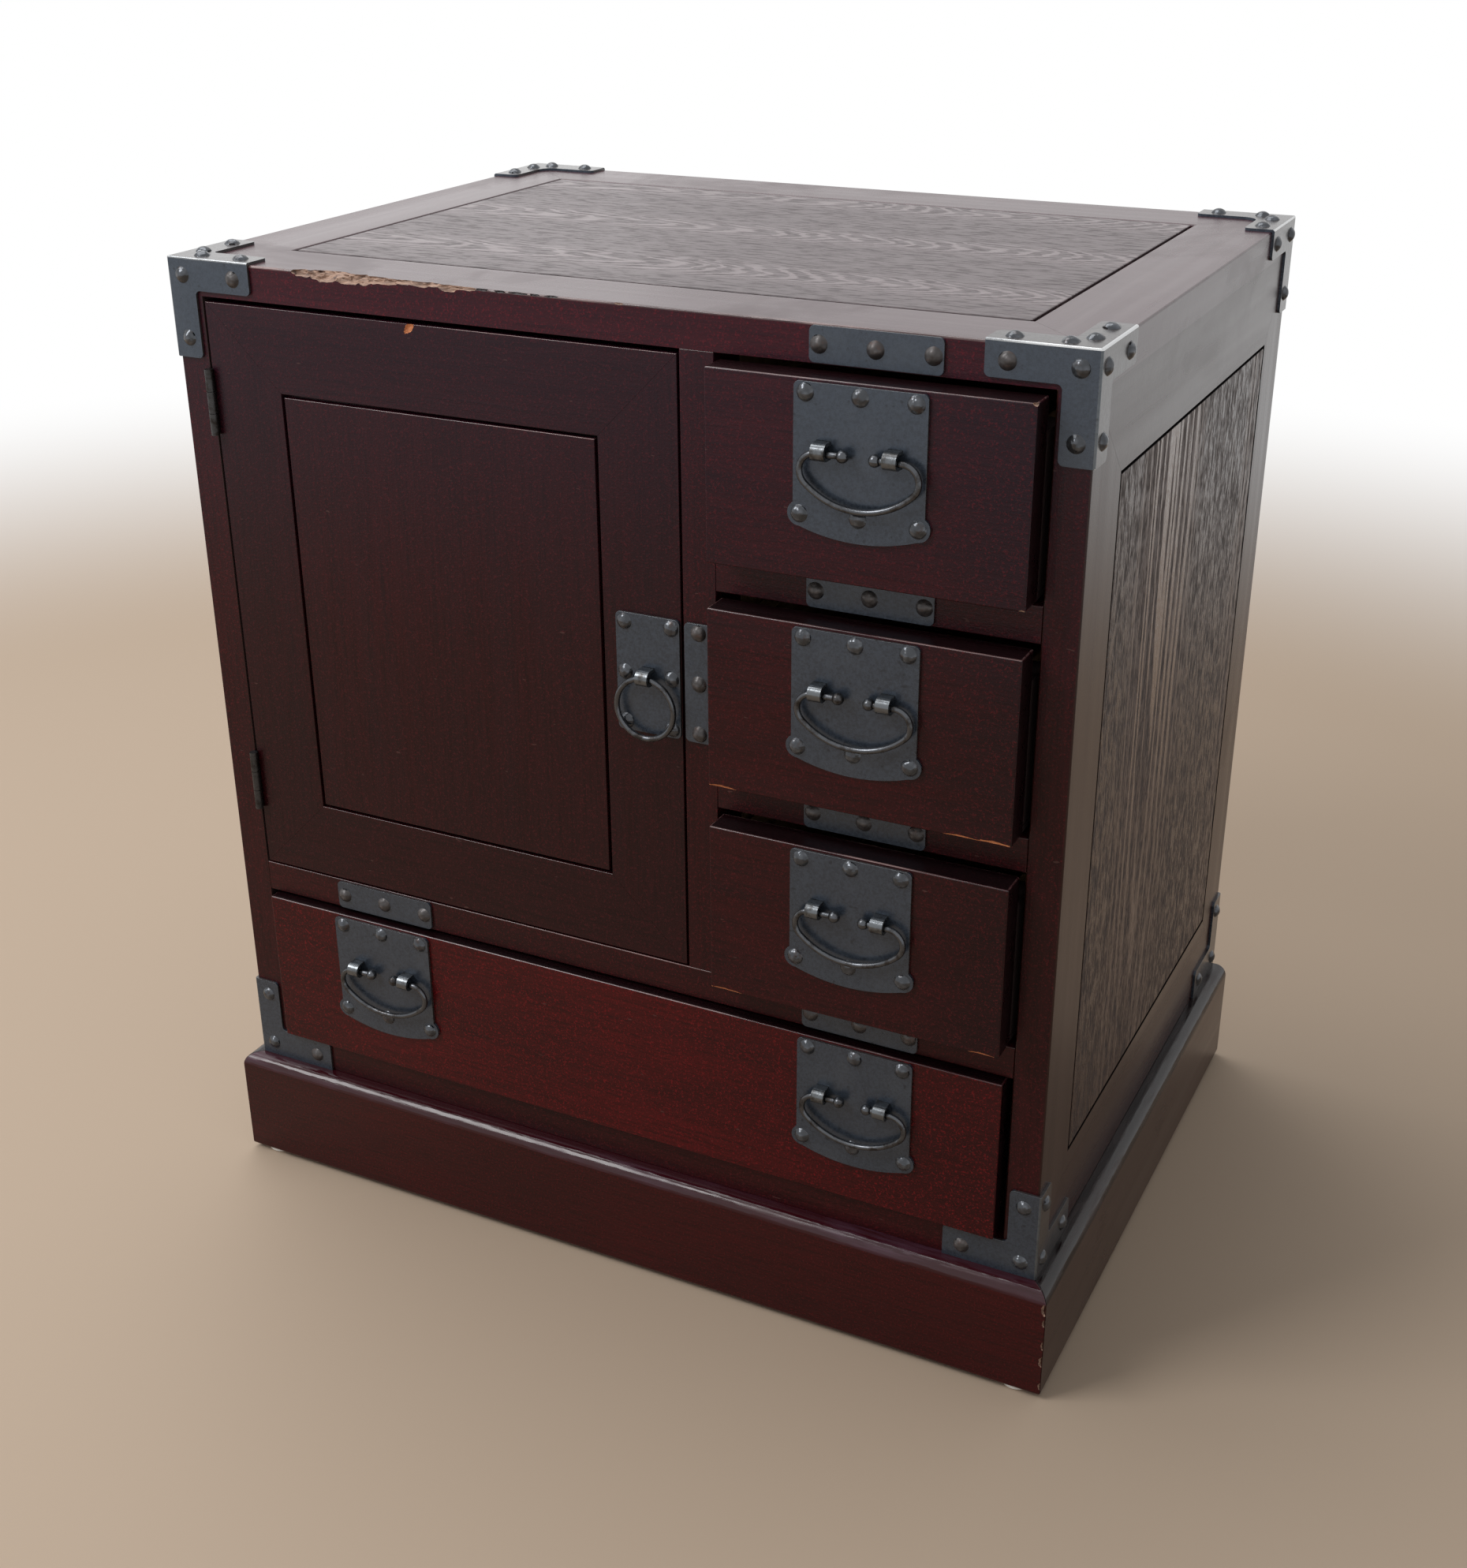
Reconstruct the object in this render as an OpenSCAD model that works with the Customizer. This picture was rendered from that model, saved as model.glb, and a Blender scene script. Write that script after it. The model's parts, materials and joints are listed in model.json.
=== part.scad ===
// Small tansu chest: one framed door, three short drawers, one long drawer, iron corners and pulls.
// Millimetres, +Z up. The origin is on the floor, under the centre of the chest with its pulls on.
// The front faces -Y. Heights in the Hidden section are measured from the floor.

/* [Body] */
// Width of the case, over its side frames
body_w = 550; // [500:1:640]
// Depth of the case, from the face of its front frame to its back
body_d = 400; // [340:1:460]
// Height of the case, from the underside of the plinth to the top surface
body_h = 607; // [580:1:680]
// Thickness of the frame members, which is the width of the stiles and rails on the front
stock = 20; // [16:0.5:24]
// Depth of the front rails and of the middle stile
rail_d = 30; // [24:1:45]
// Thickness of the back panel
back_t = 6; // [6:0.5:9]
// Width of the rebate that takes the back panel in each side frame
rebate_w = 10; // [6:0.5:12]
// Thickness of the board between the cupboard and the long drawer
dust_board_t = 12; // [8:1:16]

/* [Framed panels] */
// Width of the members round the top panel
top_frame_w = 49; // [40:1:60]
// Width of the side frame's front stile and top rail
side_frame_w = 50; // [44:1:60]
// Width of the side frame's back stile
side_back_w = 43; // [38:1:60]
// Width of the side frame's bottom rail
side_bottom_w = 56; // [44:1:66]
// Width of the door's stiles and rails
door_frame_w = 48.5; // [40:0.5:60]
// Thickness of a panel, flush with its frame on the outside
panel_t = 12; // [9:0.5:14]
// Thickness of the tongue round a panel
tongue_t = 6; // [4:0.5:7]
// How far the tongue reaches into the frame
tongue_l = 8; // [5:0.5:12]
// Width of the dark groove between a frame and its panel
panel_groove = 2; // [1:0.25:4]

/* [Door and openings] */
// Width of the door opening
door_opening_w = 309; // [270:1:330]
// Thickness of the door
door_t = 18; // [16:0.5:20]
// Gap at each side of the door
door_side_gap = 1.4; // [1.2:0.1:2.5]
// Gap above the door
door_top_gap = 3; // [1:0.1:4]
// Gap under the door
door_bottom_gap = 1.3; // [1:0.1:3]
// Height of the long drawer's opening
long_opening_h = 110; // [90:1:120]

/* [Drawers] */
// How far the short drawer fronts stand out of the front frame
short_proud = 17.6; // [2:0.1:18]
// How far the long drawer front stands out of the front frame
long_proud = 6; // [2:0.1:18]
// Gap at each side of a short drawer front
short_side_gap = 3.3; // [1.5:0.1:5]
// Gap at each side of the long drawer front
long_side_gap = 4; // [1.5:0.1:5]
// Gap above a short drawer front, and under the long one
wide_gap = 3; // [2:0.1:4]
// Gap under a short drawer front, and above the long one
narrow_gap = 2; // [1:0.1:3]
// Thickness of a drawer front
front_t = 18; // [18:0.5:22]
// Thickness of a drawer's sides and back
drawer_side_t = 10; // [8:0.5:12]
// Thickness of a drawer's bottom
drawer_bottom_t = 4; // [3:0.5:6]
// How much lower a drawer's sides are than its front
side_drop = 18; // [12:1:30]
// How far the drawer sides stand in from the ends of the front
side_inset = 0.5; // [0.5:0.5:3]
// Width of a drawer runner
runner_w = 12; // [10:1:16]
// Depth of the block that stops a drawer at the back
stop_d = 24; // [15:1:30]
// Height of a stop block above its runner
stop_h = 25; // [15:1:30]

/* [Plinth] */
// Height of the plinth
plinth_h = 73; // [60:1:80]
// How far the plinth stands out in front and at the sides
plinth_out = 12; // [6:0.5:16]
// Thickness of the plinth boards
plinth_t = 30; // [24:1:36]
// Radius of the plinth's top edge
plinth_round = 8; // [3:0.5:11]
// Radius of the plinth's bottom edge
plinth_ease = 2; // [1:0.5:3]
// Radius of a floor glide
glide_r = 9.5; // [7:0.5:11]
// Height of a floor glide
glide_h = 3; // [2:0.5:5]
// Distance from the plinth's end to the middle of a glide
glide_in_x = 17.5; // [12:0.5:30]
// Distance from the plinth's front or back to the middle of a glide
glide_in_y = 11; // [11:0.5:18]

/* [Iron plates and nails] */
// Thickness of the corner brackets and rail plates
plate_t = 1.6; // [1:0.1:2.5]
// Thickness of the pull plates and the ring plate
pull_plate_t = 1.8; // [1:0.1:2.5]
// Corner radius of the plates
plate_r = 3; // [1:0.5:4]
// Length of a corner bracket's leg
bracket_l = 56; // [50:1:80]
// Width of a corner bracket's leg
bracket_w = 17; // [14:0.5:19]
// Height of a bottom bracket's level leg
foot_leg_h = 21; // [16:0.5:26]
// Radius of the inner corner of the front brackets
bracket_fillet = 3; // [1:0.5:6]
// Radius of the inner corner of the back brackets' top plates
back_fillet = 10; // [1:0.5:14]
// Radius of a nail's domed head
nail_r = 4.75; // [3:0.25:5.5]
// Height of a nail's domed head
nail_dome_h = 2.6; // [1.5:0.1:4]
// Radius of a nail's shank
shank_r = 0.9; // [0.6:0.1:1.2]
// Length of a nail's shank
shank_l = 7; // [5:0.5:7]
// Distance from a bracket's corner to its corner nail
nail_in = 8.5; // [7:0.5:9]
// Distance from a bracket's corner to the nail in each leg
nail_out = 44.5; // [40:0.5:47]
// Height of a rail plate
rail_plate_h = 18.5; // [14:0.5:19]
// Distance from a plate's edge to its nails
nail_edge = 5.3; // [5:0.1:7]

/* [Pulls] */
// Distance from the side of the case to the middle of a pull
pull_inset = 111.8; // [100:0.1:125]
// Width of a pull plate
pull_w = 71; // [60:0.5:80]
// Height of a pull plate, to its lowest point
pull_h = 79; // [70:0.5:84]
// Distance from the top of a drawer front to the top of its pull plate
pull_drop = 1.3; // [0.5:0.1:4]
// Radius of the two round lobes at the foot of a pull plate
lobe_r = 6.5; // [5:0.25:8]
// How far the lobes stand out of the plate's sides
lobe_out = 3; // [1:0.25:4]
// How far the bottom edge bows down between the lobes
pull_bow = 5.3; // [3:0.1:9]
// Distance from the top of a pull plate to its bail's pivot
pivot_drop = 34; // [30:0.5:40]
// Distance between the middles of a pull's two staples
staple_pitch = 38; // [36:0.5:44]
// Width of a staple's strap
strap_w = 7.5; // [5:0.25:9]
// Thickness of a staple's strap
strap_t = 1.7; // [1.2:0.1:2.2]
// Inner radius of a staple's eye
eye_r = 2.9; // [2.6:0.1:3.4]
// How deep a staple's legs are driven
prong_l = 12; // [8:1:14]
// Radius of the bails' and the ring's wire
wire_r = 1.65; // [1.4:0.05:1.9]
// Radius of the knob on a bail's end
knob_r = 3.3; // [2.5:0.1:3.5]
// Distance from a bail's middle to the middle of its knob
knob_x = 8.6; // [7:0.1:9]
// How far a bail's rod runs past its staple before it bends
rod_over = 0; // [0:0.1:3]
// Distance from a bail's pivot down to the middle of its lowest wire
bail_drop = 27; // [25:0.5:27.5]
// Bend radius at a bail's two upper corners
bail_bend = 9; // [7:0.25:10]
// How much thicker the wire's radius is in a bail's two upper corners
bend_swell = 0.03; // [0.03:0.01:0.1]
// How far a bail hangs to the right of the middle of its staples
bail_shift = 1.6; // [0:0.1:2]
// Distance from a pull plate to the middle of the bail's rod
bail_stand = 4.2; // [4:0.1:5]

/* [Door ring] */
// Width of the ring plate
ring_plate_w = 39.6; // [36:0.2:44]
// Height of the ring plate and of the plate beside it
ring_plate_h = 70; // [60:1:80]
// Width of the plate on the middle stile
stile_plate_w = 17.4; // [14:0.1:18]
// Outer diameter of the ring
ring_d = 39; // [34:0.5:42]
// Distance from the ring plate to the middle of the ring's wire
ring_stand = 4.8; // [4.7:0.1:6]

/* [Hinges and catch] */
// Length of a hinge
hinge_l = 39; // [30:1:50]
// Radius of a hinge's barrel
barrel_r = 2.5; // [2.2:0.1:3]
// Radius of a hinge pin
pin_r = 1.1; // [0.8:0.1:1.4]
// Thickness of a hinge's leaves
leaf_t = 1; // [0.8:0.1:1.2]
// Width of a hinge's leaves
leaf_w = 15; // [10:1:17]
// Distance from the door's end to the middle of a hinge
hinge_in = 58; // [40:1:90]
// Width of the magnetic catch
catch_w = 14; // [10:1:18]
// Depth of the magnetic catch
catch_d = 28; // [20:1:35]
// Height of the magnetic catch
catch_h = 34; // [24:1:44]
// Thickness of the steel plate that the catch holds
keeper_t = 1.2; // [0.8:0.1:2]

/* [Clearances] */
// Clearance between a moving piece and what carries or stops it
run_gap = 0.3; // [0.2:0.05:0.5]
// Joint line between two boards of one sub-part
joint_line = 0.15; // [0.1:0.05:0.3]
// Clearance round a panel's tongue
tongue_gap = 0.2; // [0.1:0.05:0.5]
// Radial clearance of a hinge pin in its knuckles
pin_gap = 0.05; // [0.02:0.01:0.1]
// Clearance of a nail or staple in an iron plate
hole_gap = 0.1; // [0.05:0.05:0.3]

/* [Hidden] */
$fn = 64;
LACQUER = "#4b2024";
PANEL = "#46272a";
BARE_WOOD = "#c9a878";
IRON = "#454c52";
STEEL = "#7d858b";
NYLON = "#e9e8e2";

// Reach of the fittings in front of the front frame and behind the back, which sets the origin.
front_reach = max(plinth_out, short_proud + pull_plate_t + bail_stand + eye_r + strap_t);
back_reach = plate_t + nail_dome_h;
face_y = (front_reach - body_d - back_reach) / 2;
back_y = face_y + body_d;
side_x = body_w / 2;
inner_x = side_x - stock;

// Heights
short_count = 3;
plinth_top = glide_h + plinth_h;
case_top = plinth_top + body_h - plinth_h;
frame_top = case_top - stock;
long_z = plinth_top + stock;
long_top = long_z + long_opening_h;
upper_z = long_top + stock;
short_opening_h = (frame_top - upper_z - (short_count - 1) * stock) / short_count;
short_pitch = short_opening_h + stock;

// Columns
stile_x = -inner_x + door_opening_w;
short_x = stile_x + stock;
pull_x = side_x - pull_inset;

// Door
door_x0 = -inner_x + door_side_gap;
door_x1 = stile_x - door_side_gap;
door_z0 = upper_z + door_bottom_gap;
door_z1 = frame_top - door_top_gap;
door_w = door_x1 - door_x0;
door_h = door_z1 - door_z0;
door_mid_z = (door_z0 + door_z1) / 2;

// Hinges: the barrel stands in front of the gap between the stile and the door.
hinge_x = -inner_x + door_side_gap / 2;
hinge_y = face_y - barrel_r - joint_line;
hinge_zs = [door_z0 + hinge_in, door_z1 - hinge_in];
leaf_space = 0.6;
leaf_in = (leaf_space - door_side_gap) / 2 + leaf_t;
knuckle_l = (hinge_l - 2 * run_gap) / 3;

// Drawers: [left x, right x, bottom z, top z, proud]
drawer_end_y = back_y - back_t - stop_d - run_gap;
function short_drawer(i) = [
    short_x + short_side_gap,
    inner_x - short_side_gap,
    upper_z + i * short_pitch + narrow_gap,
    upper_z + i * short_pitch + short_opening_h - wide_gap,
    short_proud
];
long_drawer = [
    -inner_x + long_side_gap,
    inner_x - long_side_gap,
    long_z + wide_gap,
    long_top - narrow_gap,
    long_proud
];
UPPER = short_drawer(2);
MIDDLE = short_drawer(1);
LOWER = short_drawer(0);

// Pulls
nail_ball_r = (nail_r * nail_r + nail_dome_h * nail_dome_h) / (2 * nail_dome_h);
eye_out = eye_r + strap_t;
seat_drop = eye_r - wire_r - run_gap;
lobe_x = pull_w / 2 + lobe_out - lobe_r;
lobe_y = -pull_h + pull_bow + lobe_r;
bow_r = (lobe_x * lobe_x + pull_bow * pull_bow) / (2 * pull_bow);
pull_nails = [
    for (x = [-1, 0, 1]) [x * (pull_w / 2 - nail_edge - 1), -nail_edge],
    for (x = [-1, 1]) [x * lobe_x, lobe_y],
    [0, lobe_y + 1]
];
bend_x = (staple_pitch + strap_w) / 2 + rod_over;
bow_wire_r = (bend_x * bend_x + bail_drop * bail_drop - 2 * bail_drop * bail_bend)
    / (2 * (bail_drop - 2 * bail_bend));
bow_angle = atan2(bow_wire_r - bail_drop + bail_bend, bend_x);
wire_lap = 0.4;
bow_lap = atan(wire_lap / bow_wire_r);

// Ring: its wire curves inside the strap, so it seats a little lower in the eye than a rod.
ring_r = ring_d / 2 - wire_r;
ring_sag = ring_r - sqrt(ring_r * ring_r - strap_w * strap_w / 4);
ring_seat = max(0, seat_drop - ring_sag);
ring_x = door_x1 - run_gap - ring_plate_w / 2;
ring_nails = [
    for (x = [-1, 1], z = [-1, 0, 1])
        [x * (ring_plate_w / 2 - nail_edge), z * (ring_plate_h / 2 - nail_edge)]
];
stile_nails = [for (z = [-1, 0, 1]) [0, z * (ring_plate_h / 2 - nail_edge)]];
rail_nails = [for (x = [-1, 0, 1]) [x * (pull_w / 2 - nail_edge), 0]];

// Nails of a top bracket's three faces and a bottom bracket's two, from the corner
top_face_nails = [
    [nail_out, nail_in - 1], [2 * nail_in, nail_in - 1], [nail_in, 2 * nail_in + 2], [nail_in, nail_out]
];
edge_face_nails = [[nail_in, nail_in], [nail_out, nail_in], [nail_in, nail_out]];
foot_face_nails = [[nail_in, nail_in + 1], [nail_out, nail_in + 1], [nail_in, nail_out + 3]];

// ---------- placing ----------

// Puts a flat shape drawn in XY, +Z outwards, on a plane that faces the front.
module on_front(x, y, z) {
    translate([x, y, z]) rotate([90, 0, 0]) children();
}

// The same on the right side: the shape's X runs from front to back.
module on_right_side(y, z) {
    translate([side_x, y, z]) rotate([90, 0, 90]) children();
}

// A child and its mirror image at the other side of the case
module both_sides() {
    children();
    mirror([1, 0, 0]) children();
}

// Moves a child made at a corner, with the wood in its positive octant, to a right-hand case corner.
module at_right_corner(back, top) {
    translate([side_x, back ? back_y : face_y, top ? case_top : plinth_top])
        mirror([1, 0, 0])
            mirror([0, back ? 1 : 0, 0])
                mirror([0, 0, top ? 1 : 0])
                    children();
}

// ---------- wood ----------

// Four mitred boards round an opening, grooved for a panel. The outer face is at Z 0.
module mitred_frame(w, h, left, right, bottom, top, t) {
    g = joint_line;
    difference() {
        translate([0, 0, -t]) linear_extrude(t) {
            polygon([[g, 0], [w - g, 0], [w - right - g, bottom], [left + g, bottom]]);
            polygon([[w, 0], [w, h], [w - right, h - top], [w - right, bottom]]);
            polygon([[w - g, h], [g, h], [left + g, h - top], [w - right - g, h - top]]);
            polygon([[0, h], [0, 0], [left, bottom], [left, h - top]]);
        }
        translate([left - tongue_l, bottom - tongue_l, -panel_t])
            cube([w - left - right + 2 * tongue_l, h - bottom - top + 2 * tongue_l, tongue_t]);
    }
}

// The panel for such a frame: a field flush with the frame, and a tongue in its grooves.
module flush_panel(w, h, left, right, bottom, top) {
    in = panel_groove;
    out = tongue_l - tongue_gap;
    translate([left + in, bottom + in, -panel_t + tongue_gap])
        cube([w - left - right - 2 * in, h - bottom - top - 2 * in, panel_t - tongue_gap]);
    translate([left - out, bottom - out, -panel_t + tongue_gap])
        cube([w - left - right + 2 * out, h - bottom - top + 2 * out, tongue_t - 2 * tongue_gap]);
}

module top_frame() {
    color(LACQUER)
        translate([-side_x, face_y, case_top])
            mitred_frame(body_w, body_d, top_frame_w, top_frame_w, top_frame_w, top_frame_w, stock);
}

module top_panel() {
    color(PANEL)
        translate([-side_x, face_y, case_top])
            flush_panel(body_w, body_d, top_frame_w, top_frame_w, top_frame_w, top_frame_w);
}

// Side frame, seen from outside at the right: from the plinth up to the top frame.
module side_frame() {
    h = frame_top - plinth_top;
    difference() {
        on_right_side(face_y, plinth_top)
            mitred_frame(body_d, h, side_frame_w, side_back_w, side_bottom_w, side_frame_w, stock);
        translate([inner_x - 1, back_y - back_t, plinth_top - 1])
            cube([rebate_w + 1, back_t + 1, h + 2]);
    }
}

module side_panel() {
    on_right_side(face_y, plinth_top)
        flush_panel(body_d, frame_top - plinth_top, side_frame_w, side_back_w, side_bottom_w, side_frame_w);
}

module right_side_frame() {
    color(LACQUER) side_frame();
}

module right_side_panel() {
    color(PANEL) side_panel();
}

module left_side_frame() {
    color(LACQUER)
        difference() {
            mirror([1, 0, 0]) side_frame();
            for (z = hinge_zs)
                translate([-inner_x - leaf_in, face_y - 1, z - hinge_l / 2])
                    cube([leaf_in + 1, leaf_w + 1, hinge_l]);
        }
}

module left_side_panel() {
    color(PANEL) mirror([1, 0, 0]) side_panel();
}

module mid_stile() {
    color(LACQUER)
        translate([stile_x, face_y, upper_z])
            cube([stock, rail_d, frame_top - upper_z]);
}

module short_drawer_rails() {
    color(LACQUER)
        for (i = [1 : short_count - 1])
            translate([short_x, face_y, upper_z + i * short_pitch - stock])
                cube([inner_x - short_x, rail_d, stock]);
}

module long_drawer_rail() {
    color(LACQUER)
        translate([-inner_x, face_y, long_top])
            cube([2 * inner_x, rail_d, stock]);
}

module bottom_rail() {
    color(LACQUER)
        translate([-inner_x, face_y, plinth_top])
            cube([2 * inner_x, rail_d, stock]);
}

module bottom_board() {
    color(BARE_WOOD)
        translate([-inner_x, face_y + rail_d, plinth_top])
            cube([2 * inner_x, body_d - rail_d - back_t, stock]);
}

module dust_board() {
    color(BARE_WOOD)
        translate([-inner_x, face_y + rail_d, upper_z - dust_board_t])
            cube([2 * inner_x, body_d - rail_d - back_t, dust_board_t]);
}

module partition() {
    color(BARE_WOOD)
        translate([stile_x, face_y + rail_d, upper_z])
            cube([stock, body_d - rail_d - back_t, frame_top - upper_z]);
}

module back_panel() {
    color(BARE_WOOD)
        translate([-inner_x - rebate_w, back_y - back_t, plinth_top])
            cube([2 * (inner_x + rebate_w), back_t, frame_top - plinth_top]);
}

// The left corner of a drawer's runner or stop: one at each side of the drawer's opening
module at_runners(left, right) {
    translate([left, 0, 0]) children();
    translate([right - runner_w, 0, 0]) children();
}

// A strip under each side of each drawer, from below up to a running gap under the drawer
module runner(z0, drawer) {
    translate([0, face_y + rail_d, z0])
        cube([runner_w, body_d - rail_d - back_t, drawer[2] - run_gap - z0]);
}

module drawer_runners() {
    color(BARE_WOOD) {
        for (i = [0 : short_count - 1])
            at_runners(short_x, inner_x)
                runner(upper_z + i * short_pitch - (i > 0 ? stock : 0), short_drawer(i));
        at_runners(-inner_x, inner_x) runner(long_z, long_drawer);
    }
}

module stop_block(drawer) {
    translate([0, drawer_end_y + run_gap, drawer[2] - run_gap])
        cube([runner_w, stop_d, stop_h]);
}

module drawer_stops() {
    color(BARE_WOOD) {
        for (i = [0 : short_count - 1])
            at_runners(short_x, inner_x) stop_block(short_drawer(i));
        at_runners(-inner_x, inner_x) stop_block(long_drawer);
    }
}

// ---------- plinth ----------

// Section of a plinth board: X from its outer face inwards, Y up, both outer edges rounded.
module plinth_section() {
    r = plinth_round;
    e = plinth_ease;
    translate([r, plinth_h - r]) circle(r);
    translate([e, e]) circle(e);
    translate([0, e]) square([plinth_t, plinth_h - r - e]);
    translate([r, plinth_h - r - e]) square([plinth_t - r, r + e]);
    translate([e, 0]) square([plinth_t - e, 2 * e]);
}

module plinth_front() {
    w = body_w + 2 * plinth_out;
    color(LACQUER)
        translate([-w / 2, face_y - plinth_out, glide_h])
            intersection() {
                rotate([90, 0, 90]) linear_extrude(w) plinth_section();
                linear_extrude(plinth_h)
                    polygon([[0, 0], [w, 0], [w - plinth_t, plinth_t], [plinth_t, plinth_t]]);
            }
}

module plinth_sides() {
    d = body_d + plinth_out;
    color(LACQUER)
        both_sides()
            translate([side_x + plinth_out, face_y - plinth_out, glide_h])
                intersection() {
                    translate([0, d, 0]) rotate([90, 0, 0]) linear_extrude(d)
                        mirror([1, 0]) plinth_section();
                    linear_extrude(plinth_h)
                        polygon([[0, joint_line], [0, d], [-plinth_t, d], [-plinth_t, plinth_t + joint_line]]);
                }
}

module plinth_back() {
    in = side_x + plinth_out - plinth_t;
    color(LACQUER)
        translate([-in, back_y - plinth_t, glide_h])
            cube([2 * in, plinth_t, plinth_h]);
}

module floor_glides() {
    color(NYLON)
        both_sides()
            for (y = [face_y - plinth_out + glide_in_y, back_y - glide_in_y])
                translate([side_x + plinth_out - glide_in_x, y, 0])
                    rotate_extrude()
                        polygon([[0, 0], [glide_r - 1, 0], [glide_r, 1], [glide_r, glide_h], [0, glide_h]]);
}

// ---------- iron plates and nails ----------

// Domed nail on the plane Z 0, its shank driven down
module nail() {
    rotate_extrude() {
        intersection() {
            translate([0, nail_dome_h - nail_ball_r]) circle(nail_ball_r);
            square([nail_r + 1, nail_dome_h]);
        }
        translate([0, -shank_l]) square([shank_r, shank_l + 0.5]);
    }
}

// The hole that such a nail takes in a plate t thick whose outer face is on Z 0
module nail_hole(t) {
    translate([0, 0, -t - 1]) cylinder(r = shank_r + hole_gap, h = t + 2);
}

// A leg along X from the corner, its free inner corner rounded
module bracket_leg(l, w) {
    square([l, w - plate_r]);
    square([l - plate_r, w]);
    translate([l - plate_r, w - plate_r]) circle(plate_r);
}

// Two legs from a corner at the origin, with a fillet of radius f between them
module bracket_face(lx, wx, ly, wy, f) {
    bracket_leg(lx, wx);
    mirror([1, -1]) bracket_leg(ly, wy);
    difference() {
        translate([wy - 0.5, wx - 0.5]) square(f + 0.5);
        translate([wy + f, wx + f]) circle(f);
    }
}

// Puts a child at each nail of a bracket, outwards from the plate's outer face.
module at_bracket_nails(top_nails, front_nails, side_nails) {
    for (p = top_nails) translate([p[0], p[1], -plate_t]) mirror([0, 0, 1]) children();
    for (p = front_nails) translate([p[0], -plate_t, p[1]]) rotate([90, 0, 0]) children();
    for (p = side_nails) translate([-plate_t, p[0], p[1]]) rotate([0, -90, 0]) children();
}

// Three folded faces round a top corner of the case
module top_bracket(fillet) {
    t = plate_t;
    l = bracket_l + t;
    w = bracket_w + t;
    difference() {
        union() {
            translate([-t, -t, -t]) linear_extrude(t) bracket_face(l, w, l, w, fillet);
            translate([-t, 0, -t]) rotate([90, 0, 0]) linear_extrude(t)
                bracket_face(l, w, l, w, bracket_fillet);
            translate([-t, -t, -t]) rotate([90, 0, 90]) linear_extrude(t)
                bracket_face(l, w, l, w, bracket_fillet);
        }
        at_bracket_nails(top_face_nails, edge_face_nails, edge_face_nails) nail_hole(t);
    }
}

// Two folded faces round an upright edge of the case, standing on the plinth
module bottom_bracket() {
    t = plate_t;
    l = bracket_l + t;
    w = bracket_w + t;
    difference() {
        union() {
            translate([-t, 0, 0]) rotate([90, 0, 0]) linear_extrude(t)
                bracket_face(l, foot_leg_h, l, w, bracket_fillet);
            translate([-t, -t, 0]) rotate([90, 0, 90]) linear_extrude(t)
                bracket_face(l, foot_leg_h, l, w, bracket_fillet);
        }
        at_bracket_nails([], foot_face_nails, foot_face_nails) nail_hole(t);
    }
}

module top_front_brackets() {
    color(IRON) both_sides() at_right_corner(false, true) top_bracket(bracket_fillet);
}

module top_back_brackets() {
    color(IRON) both_sides() at_right_corner(true, true) top_bracket(back_fillet);
}

module bottom_front_brackets() {
    color(IRON) both_sides() at_right_corner(false, false) bottom_bracket();
}

module bottom_back_brackets() {
    color(IRON) both_sides() at_right_corner(true, false) bottom_bracket();
}

module rounded_plate(w, h) {
    r = plate_r;
    translate([-w / 2 + r, -h / 2]) square([w - 2 * r, h]);
    translate([-w / 2, -h / 2 + r]) square([w, h - 2 * r]);
    for (x = [-1, 1], y = [-1, 1])
        translate([x * (w / 2 - r), y * (h / 2 - r)]) circle(r);
}

// Puts a child at the middle of each rail's plate, on the face of the rail.
module at_rail_plates() {
    on_front(pull_x, face_y, case_top - stock / 2) children();
    for (i = [1 : short_count - 1])
        on_front(pull_x, face_y, upper_z + i * short_pitch - stock / 2) children();
    for (x = [-pull_x, pull_x])
        on_front(x, face_y, long_top + stock / 2) children();
}

module rail_plates() {
    color(IRON)
        at_rail_plates()
            difference() {
                linear_extrude(plate_t) rounded_plate(pull_w, rail_plate_h);
                for (p = rail_nails) translate([p[0], p[1], plate_t]) nail_hole(plate_t);
            }
}

module at_stile_plate() {
    on_front(stile_x + stock / 2, face_y, door_mid_z) children();
}

module mid_stile_plate() {
    color(IRON)
        at_stile_plate()
            difference() {
                linear_extrude(pull_plate_t) rounded_plate(stile_plate_w, ring_plate_h);
                for (p = stile_nails) translate([p[0], p[1], pull_plate_t]) nail_hole(pull_plate_t);
            }
}

module case_nails() {
    color(STEEL) {
        both_sides()
            for (back = [false, true]) {
                at_right_corner(back, true)
                    at_bracket_nails(top_face_nails, edge_face_nails, edge_face_nails) nail();
                at_right_corner(back, false)
                    at_bracket_nails([], foot_face_nails, foot_face_nails) nail();
            }
        at_rail_plates()
            for (p = rail_nails) translate([p[0], p[1], plate_t]) nail();
        at_stile_plate()
            for (p = stile_nails) translate([p[0], p[1], pull_plate_t]) nail();
    }
}

// ---------- pulls ----------

// Outline of a pull plate, its top edge's middle at the origin
module pull_outline() {
    r = plate_r;
    translate([-pull_w / 2, lobe_y]) square([pull_w, -lobe_y - r]);
    translate([-pull_w / 2 + r, -2 * r]) square([pull_w - 2 * r, 2 * r]);
    for (x = [-1, 1]) {
        translate([x * (pull_w / 2 - r), -r]) circle(r);
        translate([x * lobe_x, lobe_y]) circle(lobe_r);
    }
    intersection() {
        translate([0, bow_r - pull_h]) circle(bow_r, $fn = 256);
        translate([-lobe_x - lobe_r / 2, -pull_h - 1]) square([2 * lobe_x + lobe_r, lobe_y + pull_h + 2]);
    }
}

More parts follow.
